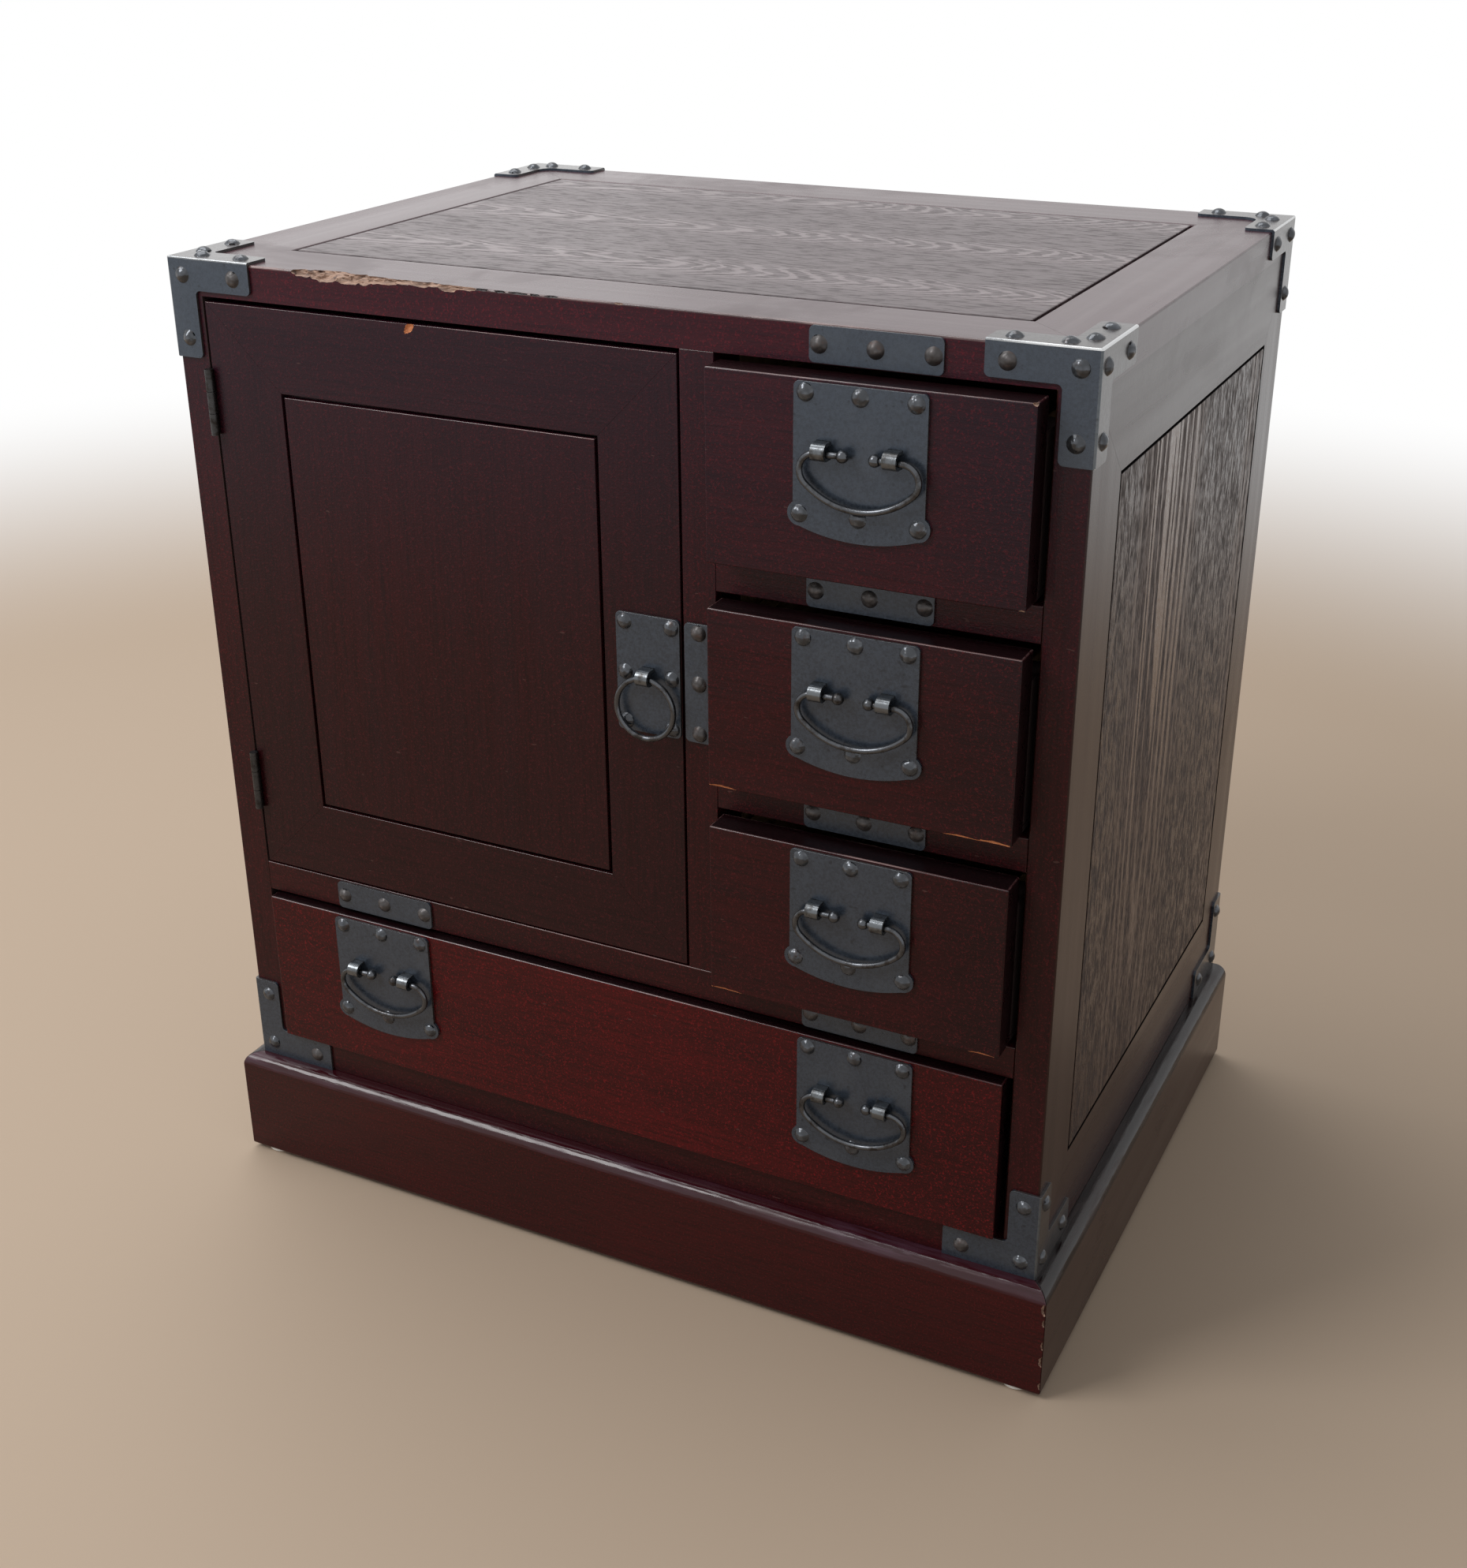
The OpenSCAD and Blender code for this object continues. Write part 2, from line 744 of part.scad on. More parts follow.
// A strap bent round an eye, its two legs driven back through the plate. The pivot end is in front.
module strap_section(grow) {
    difference() {
        union() {
            translate([-bail_stand, 0]) circle(eye_out);
            translate([-bail_stand, -eye_out - grow]) square([bail_stand + prong_l, 2 * (eye_out + grow)]);
        }
        translate([-bail_stand, 0]) circle(eye_r);
        translate([-bail_stand, -eye_r + grow]) square([bail_stand + prong_l + 1, 2 * (eye_r - grow)]);
    }
}

// The staple of a rod that stands off the plate: X along the rod, plate face on Y 0, front at -Y
module staple(stand) {
    translate([0, bail_stand - stand, 0])
        rotate([90, 0, 90])
            translate([0, 0, -strap_w / 2])
                linear_extrude(strap_w) strap_section(0);
}

// The two slots that such a staple takes in a plate t thick behind Y 0
module staple_slots(t) {
    for (s = [-1, 1])
        translate([-strap_w / 2 - hole_gap, -1, s * (eye_r + strap_t / 2) - strap_t / 2 - hole_gap])
            cube([strap_w + 2 * hole_gap, t + 2, strap_t + 2 * hole_gap]);
}

// Puts a child on a drawer's front at the pivot of a pull at x: plate face on Y 0.
module at_pivot(drawer, x) {
    translate([x, face_y - drawer[4] - pull_plate_t, drawer[3] - pull_drop - pivot_drop]) children();
}

module pull_plate(drawer, x) {
    t = pull_plate_t;
    color(IRON)
        difference() {
            on_front(x, face_y - drawer[4], drawer[3] - pull_drop) {
                difference() {
                    linear_extrude(t) pull_outline();
                    for (p = pull_nails) translate([p[0], p[1], t]) nail_hole(t);
                }
            }
            at_pivot(drawer, x)
                for (s = [-1, 1]) translate([s * staple_pitch / 2, 0, seat_drop]) staple_slots(t);
        }
}

module pull_fixings(drawer, x) {
    color(STEEL) {
        at_pivot(drawer, x)
            for (s = [-1, 1]) translate([s * staple_pitch / 2, 0, seat_drop]) staple(bail_stand);
        on_front(x, face_y - drawer[4], drawer[3] - pull_drop)
            for (p = pull_nails) translate([p[0], p[1], pull_plate_t]) nail();
    }
}

// A stretch of round wire bent in the XZ plane about the origin, from one angle to another
module bent_wire(radius, from, to, r) {
    rotate([90, 0, 0]) rotate([0, 0, from])
        rotate_extrude(angle = to - from) translate([radius, 0]) circle(r, $fn = 32);
}

// Half of a bail down to its bowed stretch: knob, rod and upper corner
module half_bail() {
    translate([knob_x, 0, 0]) sphere(knob_r, $fn = 48);
    translate([knob_x, 0, 0]) rotate([0, 90, 0]) cylinder(r = wire_r, h = bend_x - knob_x + wire_lap, $fn = 32);
    translate([bend_x, 0, -bail_bend]) bent_wire(bail_bend, -bow_angle, 90, wire_r + bend_swell);
}

module bail(drawer, x) {
    color(STEEL)
        at_pivot(drawer, x)
            translate([bail_shift, -bail_stand, 0]) {
                both_sides() half_bail();
                translate([0, 0, bow_wire_r - bail_drop])
                    bent_wire(bow_wire_r, -180 + bow_angle - bow_lap, -bow_angle + bow_lap, wire_r);
            }
}

// ---------- drawers ----------

module drawer_front(drawer) {
    color(LACQUER)
        translate([drawer[0], face_y - drawer[4], drawer[2]])
            cube([drawer[1] - drawer[0], front_t, drawer[3] - drawer[2]]);
}

// Two sides, a back between them, and a bottom pegged on from below
module drawer_box(drawer) {
    x0 = drawer[0] + side_inset;
    x1 = drawer[1] - side_inset;
    y0 = face_y - drawer[4] + front_t;
    depth = drawer_end_y - y0;
    z1 = drawer[2] + drawer_bottom_t + joint_line;
    h = drawer[3] - drawer[2] - side_drop - drawer_bottom_t;
    color(BARE_WOOD) {
        translate([x0, y0, drawer[2]]) cube([x1 - x0, depth, drawer_bottom_t]);
        for (x = [x0, x1 - drawer_side_t])
            translate([x, y0, z1]) cube([drawer_side_t, depth, h]);
        translate([x0 + drawer_side_t + joint_line, drawer_end_y - drawer_side_t, z1])
            cube([x1 - x0 - 2 * (drawer_side_t + joint_line), drawer_side_t, h]);
    }
}

// ---------- door ----------

module door_frame() {
    w = door_frame_w;
    color(LACQUER)
        difference() {
            on_front(door_x0, face_y, door_z0) mitred_frame(door_w, door_h, w, w, w, w, door_t);
            for (z = hinge_zs)
                translate([door_x0 - 1, face_y - 1, z - hinge_l / 2])
                    cube([leaf_in + 1, leaf_w + 1, hinge_l]);
        }
}

module door_panel() {
    w = door_frame_w;
    color(PANEL)
        on_front(door_x0, face_y, door_z0) flush_panel(door_w, door_h, w, w, w, w);
}

module ring_plate() {
    t = pull_plate_t;
    color(IRON)
        difference() {
            on_front(ring_x, face_y, door_mid_z) {
                difference() {
                    linear_extrude(t) rounded_plate(ring_plate_w, ring_plate_h);
                    for (p = ring_nails) translate([p[0], p[1], t]) nail_hole(t);
                }
            }
            translate([ring_x, face_y - t, door_mid_z]) staple_slots(t);
        }
}

module ring_staple() {
    color(STEEL)
        translate([ring_x, face_y - pull_plate_t, door_mid_z]) staple(ring_stand);
}

module ring_plate_nails() {
    color(STEEL)
        on_front(ring_x, face_y, door_mid_z)
            for (p = ring_nails) translate([p[0], p[1], pull_plate_t]) nail();
}

module door_ring() {
    color(STEEL)
        translate([ring_x, face_y - pull_plate_t - ring_stand, door_mid_z - ring_seat - ring_r])
            rotate([90, 0, 0])
                rotate_extrude() translate([ring_r, 0]) circle(wire_r);
}

// A leaf beside the gap at x0, reaching forward into the hinge's barrel
module hinge_leaf(x0, z, from, to) {
    translate([x0, face_y + run_gap, z - hinge_l / 2])
        cube([leaf_t, leaf_w - run_gap, hinge_l]);
    difference() {
        union() {
            for (i = [0 : len(from) - 1])
                translate([hinge_x, hinge_y, z + from[i]])
                    cylinder(r = barrel_r, h = to[i] - from[i]);
            for (i = [0 : len(from) - 1])
                translate([x0, hinge_y, z + from[i]])
                    cube([leaf_t, face_y + run_gap - hinge_y + 1, to[i] - from[i]]);
        }
        translate([hinge_x, hinge_y, z - hinge_l]) cylinder(r = pin_r + pin_gap, h = 2 * hinge_l);
    }
}

frame_leaf_x = hinge_x - leaf_space / 2 - leaf_t;
door_leaf_x = hinge_x + leaf_space / 2;

module hinge_frame_leaves() {
    color(STEEL)
        for (z = hinge_zs)
            hinge_leaf(frame_leaf_x, z,
                [-hinge_l / 2, hinge_l / 2 - knuckle_l],
                [-hinge_l / 2 + knuckle_l, hinge_l / 2]);
}

module hinge_door_leaves() {
    color(STEEL)
        for (z = hinge_zs)
            hinge_leaf(door_leaf_x, z, [-knuckle_l / 2], [knuckle_l / 2]);
}

module hinge_pins() {
    color(STEEL)
        for (z = hinge_zs)
            translate([hinge_x, hinge_y, z - hinge_l / 2]) cylinder(r = pin_r, h = hinge_l);
}

module door_catch() {
    color(NYLON)
        translate([stile_x - catch_w, face_y + door_t + keeper_t + run_gap, door_mid_z - catch_h / 2])
            cube([catch_w, catch_d, catch_h]);
}

module catch_keeper() {
    color(STEEL)
        translate([stile_x - catch_w, face_y + door_t, door_mid_z - catch_h / 2])
            cube([catch_w - 2 * door_side_gap, keeper_t, catch_h]);
}

// ---------- drawing ----------

top_frame();
top_panel();
left_side_frame();
left_side_panel();
right_side_frame();
right_side_panel();
mid_stile();
short_drawer_rails();
long_drawer_rail();
bottom_rail();
bottom_board();
dust_board();
partition();
back_panel();
drawer_runners();
drawer_stops();
plinth_front();
plinth_sides();
plinth_back();
floor_glides();
top_front_brackets();
top_back_brackets();
bottom_front_brackets();
bottom_back_brackets();
case_nails();
rail_plates();
mid_stile_plate();
hinge_frame_leaves();
hinge_pins();
door_catch();
door_frame();
door_panel();
ring_plate();
ring_staple();
ring_plate_nails();
hinge_door_leaves();
catch_keeper();
door_ring();
drawer_front(UPPER);  // upper_drawer_front
drawer_box(UPPER);  // upper_drawer_box
pull_plate(UPPER, pull_x);  // upper_pull_plate
pull_fixings(UPPER, pull_x);  // upper_pull_fixings
bail(UPPER, pull_x);  // upper_bail
drawer_front(MIDDLE);  // middle_drawer_front
drawer_box(MIDDLE);  // middle_drawer_box
pull_plate(MIDDLE, pull_x);  // middle_pull_plate
pull_fixings(MIDDLE, pull_x);  // middle_pull_fixings
bail(MIDDLE, pull_x);  // middle_bail
drawer_front(LOWER);  // lower_drawer_front
drawer_box(LOWER);  // lower_drawer_box
pull_plate(LOWER, pull_x);  // lower_pull_plate
pull_fixings(LOWER, pull_x);  // lower_pull_fixings
bail(LOWER, pull_x);  // lower_bail
drawer_front(long_drawer);  // long_drawer_front
drawer_box(long_drawer);  // long_drawer_box
union() { pull_plate(long_drawer, -pull_x); pull_plate(long_drawer, pull_x); }  // long_pull_plates
union() { pull_fixings(long_drawer, -pull_x); pull_fixings(long_drawer, pull_x); }  // long_pull_fixings
bail(long_drawer, -pull_x);  // long_left_bail
bail(long_drawer, pull_x);  // long_right_bail
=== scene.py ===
import json
import math
import random

import bpy
import bmesh
from mathutils import Matrix, Vector

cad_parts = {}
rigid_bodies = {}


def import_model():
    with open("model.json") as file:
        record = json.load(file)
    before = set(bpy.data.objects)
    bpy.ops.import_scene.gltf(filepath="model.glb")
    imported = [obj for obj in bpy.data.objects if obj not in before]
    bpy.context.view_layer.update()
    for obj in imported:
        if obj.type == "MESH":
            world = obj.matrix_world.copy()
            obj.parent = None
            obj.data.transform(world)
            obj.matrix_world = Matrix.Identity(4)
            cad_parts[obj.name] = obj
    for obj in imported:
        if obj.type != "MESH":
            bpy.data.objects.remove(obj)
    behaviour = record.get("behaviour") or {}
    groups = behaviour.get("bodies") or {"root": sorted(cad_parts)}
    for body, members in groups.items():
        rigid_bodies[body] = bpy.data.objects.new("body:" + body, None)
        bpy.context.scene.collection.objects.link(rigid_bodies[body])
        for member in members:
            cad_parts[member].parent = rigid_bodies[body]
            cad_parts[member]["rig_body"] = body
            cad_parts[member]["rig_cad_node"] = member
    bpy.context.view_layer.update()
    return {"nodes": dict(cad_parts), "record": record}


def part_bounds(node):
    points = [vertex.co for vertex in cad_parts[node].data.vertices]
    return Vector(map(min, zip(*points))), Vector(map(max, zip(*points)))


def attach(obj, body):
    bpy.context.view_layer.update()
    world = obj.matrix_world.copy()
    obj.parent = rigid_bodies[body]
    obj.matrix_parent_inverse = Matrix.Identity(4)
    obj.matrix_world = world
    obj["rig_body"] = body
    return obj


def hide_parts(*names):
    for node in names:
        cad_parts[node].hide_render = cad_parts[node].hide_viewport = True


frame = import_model()
nodes = frame["nodes"]
bodies = frame["record"]["behaviour"]["bodies"]
body_of_node = {node: body for body, members in bodies.items() for node in members}


def corners(node):
    """A node's lowest and highest corners, to a tenth of a millimetre."""
    return [[round(v, 4) for v in corner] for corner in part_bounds(node)]


# The faces of the case: the top frame has its full width and depth, and lies on the side frames
(_, FRONT, UNDER_TOP), (SIDE, BACK, TOP) = corners("top_frame")
MIDDLE_Y, HALF_DEPTH = (FRONT + BACK) / 2, (BACK - FRONT) / 2
# What is less than this off a face still belongs to it
HAIR = 0.0005


# ---------------------------------------------------------------- the camera

CAMERA_SPOT = (0.53547, -1.08707, 0.82244)
CAMERA_YAW, CAMERA_PITCH, CAMERA_ROLL = 26.67, -25.127, -0.345
CAMERA_LENS = 45.98


def set_camera():
    """The camera, where the corners of the chest in the photograph put it."""
    data = bpy.data.cameras.new("photo_camera")
    data.sensor_width = 36.0
    data.lens = CAMERA_LENS
    data.clip_start, data.clip_end = 0.05, 60.0
    camera = bpy.data.objects.new("photo_camera", data)
    yaw, pitch, roll = (math.radians(v) for v in (CAMERA_YAW, CAMERA_PITCH, CAMERA_ROLL))
    ahead = Vector((-math.sin(yaw) * math.cos(pitch), math.cos(yaw) * math.cos(pitch), math.sin(pitch)))
    right = Vector((math.cos(yaw), math.sin(yaw), 0))
    up = right.cross(ahead)
    right_tilted = math.cos(roll) * right + math.sin(roll) * up
    up_tilted = -math.sin(roll) * right + math.cos(roll) * up
    turn = Matrix((right_tilted, up_tilted, -ahead)).transposed()
    camera.matrix_world = Matrix.Translation(CAMERA_SPOT) @ turn.to_4x4()
    bpy.context.scene.collection.objects.link(camera)
    bpy.context.scene.camera = camera


# ---------------------------------------------------------------- finishes

class Finish:
    """A material and the few node moves that its recipe needs."""

    def __init__(self, name):
        self.material = bpy.data.materials.new(name)
        self.material.use_nodes = True
        self.tree = self.material.node_tree
        self.shader = self.tree.nodes["Principled BSDF"]
        self.place = self.node("ShaderNodeTexCoord").outputs["Object"]
        self.even = self.stretched((1, 1, 1))

    def node(self, kind, **settings):
        made = self.tree.nodes.new(kind)
        for name, value in settings.items():
            setattr(made, name, value)
        return made

    def join(self, value, socket):
        """Sets a constant on a socket, or links another node's output to it."""
        if isinstance(value, (int, float, tuple)):
            socket.default_value = value
        else:
            self.tree.links.new(value, socket)

    def stretched(self, scale, turn=(0, 0, 0)):
        made = self.node("ShaderNodeMapping")
        self.tree.links.new(self.place, made.inputs["Vector"])
        made.inputs["Scale"].default_value = scale
        made.inputs["Rotation"].default_value = turn
        return made.outputs["Vector"]

    def noise(self, where, scale=1.0, detail=3.0, rough=0.5, distort=0.0):
        made = self.node("ShaderNodeTexNoise")
        self.tree.links.new(where, made.inputs["Vector"])
        made.inputs["Scale"].default_value = scale
        made.inputs["Detail"].default_value = detail
        made.inputs["Roughness"].default_value = rough
        made.inputs["Distortion"].default_value = distort
        return made.outputs["Fac"]

    def streaks(self, grain, across, along, detail=3.0, rough=0.55, distort=0.0):
        """Noise drawn out along the grain; across and along are counts to the metre."""
        scale = [across, across, across]
        scale["xyz".index(grain)] = along
        return self.noise(self.stretched(tuple(scale)), 1.0, detail, rough, distort)

    def ramp(self, value, *stops):
        """Maps a value to a grey or a colour; each stop is a place from 0 to 1 and what it gives."""
        made = self.node("ShaderNodeValToRGB")
        self.tree.links.new(value, made.inputs["Fac"])
        edges = made.color_ramp.elements
        while len(edges) < len(stops):
            edges.new(0.5)
        for edge, (at, tone) in zip(edges, stops):
            edge.position = at
            edge.color = (tone, tone, tone, 1) if isinstance(tone, (int, float)) else (*tone, 1)
        return made.outputs["Color"]

    def mix(self, share, low, high, blend="MIX"):
        made = self.node("ShaderNodeMix", data_type="RGBA", blend_type=blend)
        self.join(share, made.inputs["Factor"])
        for value, name in ((low, "A"), (high, "B")):
            socket = [s for s in made.inputs if s.name == name and s.type == "RGBA"][0]
            self.join((*value, 1) if isinstance(value, tuple) else value, socket)
        return [s for s in made.outputs if s.type == "RGBA"][0]

    def sum(self, kind, a, b=0.0, c=0.0):
        made = self.node("ShaderNodeMath", operation=kind)
        for value, socket in zip((a, b, c), made.inputs):
            self.join(value, socket)
        return made.outputs[0]

    def swing(self, value, by):
        """How far a value is from a half, times by."""
        return self.sum("MULTIPLY", self.sum("SUBTRACT", value, 0.5), by)

    def along(self, axis):
        """The coordinate along "X", "Y" or "Z", in metres."""
        made = self.node("ShaderNodeSeparateXYZ")
        self.tree.links.new(self.place, made.inputs[0])
        return made.outputs[axis]

    def between(self, value, low, high):
        """0 at low and 1 at high, with a soft change from one to the other."""
        made = self.node("ShaderNodeMapRange", interpolation_type="SMOOTHSTEP")
        self.join(value, made.inputs["Value"])
        made.inputs["From Min"].default_value = low
        made.inputs["From Max"].default_value = high
        return made.outputs["Result"]

    def band(self, value, low, high, soft):
        """1 from low to high and 0 outside."""
        return self.sum("MULTIPLY", self.between(value, low - soft, low + soft),
                        self.between(value, high + soft, high - soft))

    def bump(self, height, depth, under=None):
        made = self.node("ShaderNodeBump")
        self.join(height, made.inputs["Height"])
        made.inputs["Distance"].default_value = depth
        if under is not None:
            self.join(under, made.inputs["Normal"])
        return made.outputs["Normal"]

    def set(self, **values):
        names = {"color": "Base Color", "rough": "Roughness", "metal": "Metallic", "ior": "IOR",
                 "normal": "Normal"}
        for name, value in values.items():
            socket = self.shader.inputs[names[name]]
            if name == "color" and isinstance(value, tuple):
                value = (*value, 1)
            self.join(value, socket)


def shade(color, by):
    return tuple(by * v for v in color)


# The tone of a nick, and the heights between which the painted cool reflection on the upper boards comes in
NICK, SHEEN_FROM, SHEEN_FULL = (0.13, 0.065, 0.058), 0.38, 0.60


def lacquer(name, grain, dark, red, rough=(0.26, 0.38), ior=1.3, bloom=(0.36, 0.66), middle=None, window_sheen=None):
    """Red-brown lacquer brushed over close-grained wood: faint fibres, a cloudy redder bloom, fine dust in
    the coat. The bloom can be kept to the middle of a board, and the upper boards can have a painted cool
    reflection."""
    f = Finish(name)
    fibres = f.streaks(grain, 620, 26, 3, 0.65)
    bands = f.streaks(grain, 85, 3.5, 3, 0.55)
    cloud = f.noise(f.even, 4.4, 3, 0.55)
    grit = f.noise(f.even, 780, 2, 0.75)
    redder = f.ramp(cloud, (bloom[0], 0.0), (bloom[1], 1.0))
    if middle:
        axis, low, high, soft = middle
        redder = f.sum("MULTIPLY", redder, f.band(f.along(axis), low, high, soft))
    tone = f.mix(redder, dark, red)
    tone = f.mix(f.ramp(bands, (0.40, 0.0), (0.68, 0.5)), tone, shade(dark, 0.6))
    tone = f.mix(f.ramp(fibres, (0.44, 0.0), (0.66, 0.6)), tone, shade(dark, 0.35))
    tone = f.mix(f.ramp(grit, (0.54, 0.0), (0.70, 0.85)), tone, shade(red, 2.4))
    nick = f.noise(f.stretched((120, 120, 420), turn=(0, 0.7, 0)), 1.0, 1, 0.4)
    tone = f.mix(f.sum("MULTIPLY", f.ramp(nick, (0.80, 0.0), (0.82, 1.0)), 0.4), tone, NICK)
    # Painted reflection: a cool tint added to the colour higher up, standing in for cool light mirrored there
    if window_sheen:
        tone = f.mix(f.between(f.along("Z"), SHEEN_FROM, SHEEN_FULL), tone, f.mix(1.0, tone, window_sheen, "ADD"))
    f.set(color=tone, rough=f.ramp(bands, (0.35, rough[0]), (0.68, rough[1])), ior=ior)
    f.set(normal=f.bump(grit, 0.00012, f.bump(fibres, 0.00008, f.bump(cloud, 0.0005))))
    return f.material


def rubbed(name, grain, base, pale, rough=(0.12, 0.45), ior=1.5):
    """Lacquer on an edge, paler in streaks, some glossy and some dull: partly wear where hands and cloths
    rub, partly a painted highlight where the edge catches the light.
    """
    f = Finish(name)
    streak = f.streaks(grain, 240, 24, 3, 0.65)
    patch = f.streaks(grain, 30, 9, 3, 0.6)
    paler = f.mix(f.ramp(streak, (0.4, 0.0), (0.6, 1.0)), base, pale)
    tone = f.mix(f.ramp(patch, (0.42, 0.0), (0.60, 1.0)), base, paler)
    f.set(color=tone, rough=f.ramp(streak, (0.46, rough[0]), (0.66, rough[1])), ior=ior)
    f.set(normal=f.bump(streak, 0.00018, f.bump(patch, 0.0005)))
    return f.material


def waxed_lacquer(name, grain, base, rough=(0.22, 0.30), scuffs=0.45, ior=1.5):
    """Lacquer on the top and the sides: smooth and much polished, with hairline scratches and dull smears."""
    f = Finish(name)
    fibres = f.streaks(grain, 480, 14, 3, 0.6)
    bands = f.streaks(grain, 60, 2.2, 3, 0.55)
    smear = f.noise(f.stretched((3, 2, 3)), 3.0, 4, 0.62, 0.6)
    grit = f.noise(f.even, 700, 2, 0.7)
    tone = f.mix(f.ramp(bands, (0.35, 0.0), (0.7, 0.35)), base, shade(base, 0.8))
    tone = f.mix(f.ramp(fibres, (0.46, 0.0), (0.72, 0.4)), tone, shade(base, 0.55))
    tone = f.mix(f.ramp(grit, (0.55, 0.0), (0.72, 0.5)), tone, shade(base, 1.6))
    dull = f.ramp(smear, (0.56, 0.0), (0.68, scuffs))
    tone = f.mix(dull, tone, shade(base, 0.55))
    scratch = f.noise(f.stretched((60, 900, 700), turn=(0, 0, 0.5)), 1.0, 1, 0.4)
    places = f.ramp(f.noise(f.even, 26, 1, 0.4), (0.55, 0.0), (0.62, 1.0))
    scratch = f.sum("MULTIPLY", f.ramp(scratch, (0.70, 0.0), (0.74, 1.0)), places)
    tone = f.mix(f.sum("MULTIPLY", scratch, 0.6), tone, shade(base, 0.3))
    polish = f.ramp(bands, (0.3, rough[0]), (0.75, rough[1]))
    f.set(color=tone, rough=f.mix(dull, polish, (0.42, 0.42, 0.42)), ior=ior)
    f.set(normal=f.bump(grit, 0.00005, f.bump(fibres, 0.00003, f.bump(smear, 0.0003))))
    return f.material


# From one row of arches to the next
ARCH_ROW = 0.115


def flat_sawn_top(name, dark, pale):
    """The top panel: fine open pores, and three repeats of pale feathered arches that run left to right."""
    f = Finish(name)
    x, y = f.along("X"), f.along("Y")
    wander = f.noise(f.stretched((9, 34, 1)), 1.0, 3, 0.55)
    row = f.sum("ADD", y, f.swing(wander, 0.020))
    row = f.sum("WRAP", f.sum("SUBTRACT", row, 0.031), ARCH_ROW / 2, -ARCH_ROW / 2)
    arch = f.sum("MULTIPLY", f.sum("MULTIPLY", row, row), 5600)
    slow = f.sum("MULTIPLY", x, 24)
    quick = f.sum("MULTIPLY", f.sum("MAXIMUM", x, 0.0), 40)
    phase = f.sum("ADD", f.sum("ADD", f.sum("ADD", slow, quick), arch), f.sum("MULTIPLY", wander, 4.5))
    wave = f.sum("PINGPONG", phase, 0.5)
    feather = f.streaks("x", 520, 60, 2, 0.6)
    wave = f.sum("ADD", wave, f.swing(feather, 0.55))
    arches = f.sum("MULTIPLY", f.ramp(wave, (0.27, 0.0), (0.36, 1.0)), f.band(row, -0.020, 0.020, 0.009))
    pores = f.streaks("x", 420, 70, 3, 0.65)
    soft = f.streaks("x", 150, 9, 3, 0.6)
    tone = f.mix(f.ramp(soft, (0.35, 0.0), (0.7, 1.0)), dark, f.mix(0.2, dark, pale))
    tone = f.mix(f.ramp(pores, (0.38, 0.7), (0.52, 0.0)), tone, shade(dark, 0.35))
    tone = f.mix(f.sum("MULTIPLY", arches, 0.85), tone, pale)
    dull = f.ramp(pores, (0.36, 0.5), (0.52, 0.32))
    f.set(color=tone, rough=f.mix(f.sum("MULTIPLY", arches, 0.8), dull, (0.27, 0.27, 0.27)), ior=1.5)
    f.set(normal=f.bump(f.ramp(pores, (0.36, 0.0), (0.5, 1.0)), 0.00008, f.bump(arches, 0.0001)))
    return f.material


# The middle of the eye that the lines are drawn round
EYE_Y, EYE_Z = -0.034, 0.49


def flat_sawn_side(name, dark, pale):
    """A side panel: long upright pale lines about a third of the way back, drawn round a tall eye, and
    short dark pores all over. The lines are the real grain, painted paler than the wood as a painted
    reflection of their sheen."""
    f = Finish(name)
    y, z = f.along("Y"), f.along("Z")
    wander = f.streaks("z", 22, 2.4, 3, 0.5)
    v = f.sum("ADD", f.sum("SUBTRACT", y, EYE_Y), f.swing(wander, 0.020))
    v = f.sum("ADD", v, f.swing(f.streaks("z", 80, 1.6, 2, 0.5), 0.014))
    eye = f.sum("MULTIPLY", f.sum("SUBTRACT", z, EYE_Z), 0.055)
    far = f.sum("SQRT", f.sum("ADD", f.sum("MULTIPLY", v, v), f.sum("MULTIPLY", eye, eye)))
    wave = f.sum("PINGPONG", f.sum("MULTIPLY", far, 100), 0.5)
    feather = f.streaks("z", 420, 24, 2, 0.6)
    weight = f.streaks("z", 55, 1.5, 2, 0.5)
    wave = f.sum("ADD", wave, f.swing(feather, 0.35))
    wave = f.sum("ADD", wave, f.swing(weight, 0.9))
    by_the_eye, by_the_back = f.band(y, -0.088, 0.024, 0.020), f.band(y, 0.143, 0.166, 0.006)
    strong = f.sum("MAXIMUM", by_the_eye, f.sum("MULTIPLY", by_the_back, 0.5))
    # Painted reflection: the pale lines are weaker towards the bottom, where the side mirrors the darker
    # floor
    strong = f.sum("MULTIPLY", strong, f.sum("MULTIPLY_ADD", f.between(z, 0.14, 0.48), 0.70, 0.30))
    lines = f.sum("MULTIPLY", f.ramp(wave, (0.29, 0.0), (0.38, 1.0)), strong)
    pores = f.streaks("z", 380, 100, 2, 0.7)
    soft = f.streaks("z", 130, 9, 3, 0.6)
    tone = f.mix(f.ramp(soft, (0.36, 0.0), (0.66, 1.0)), dark, f.mix(0.16, dark, pale))
    tone = f.mix(f.ramp(pores, (0.38, 0.85), (0.56, 0.0)), tone, shade(dark, 0.3))
    tone = f.mix(f.sum("MULTIPLY", lines, 0.9), tone, pale)
    land = f.mix(strong, f.ramp(pores, (0.36, 0.75), (0.58, 0.27)), f.ramp(pores, (0.38, 0.80), (0.60, 0.50)))
    f.set(color=tone, rough=f.mix(lines, land, (0.20, 0.20, 0.20)), ior=1.5)
    f.set(normal=f.bump(f.ramp(pores, (0.4, 0.0), (0.58, 1.0)), 0.0002, f.bump(lines, 0.0001)))
    return f.material


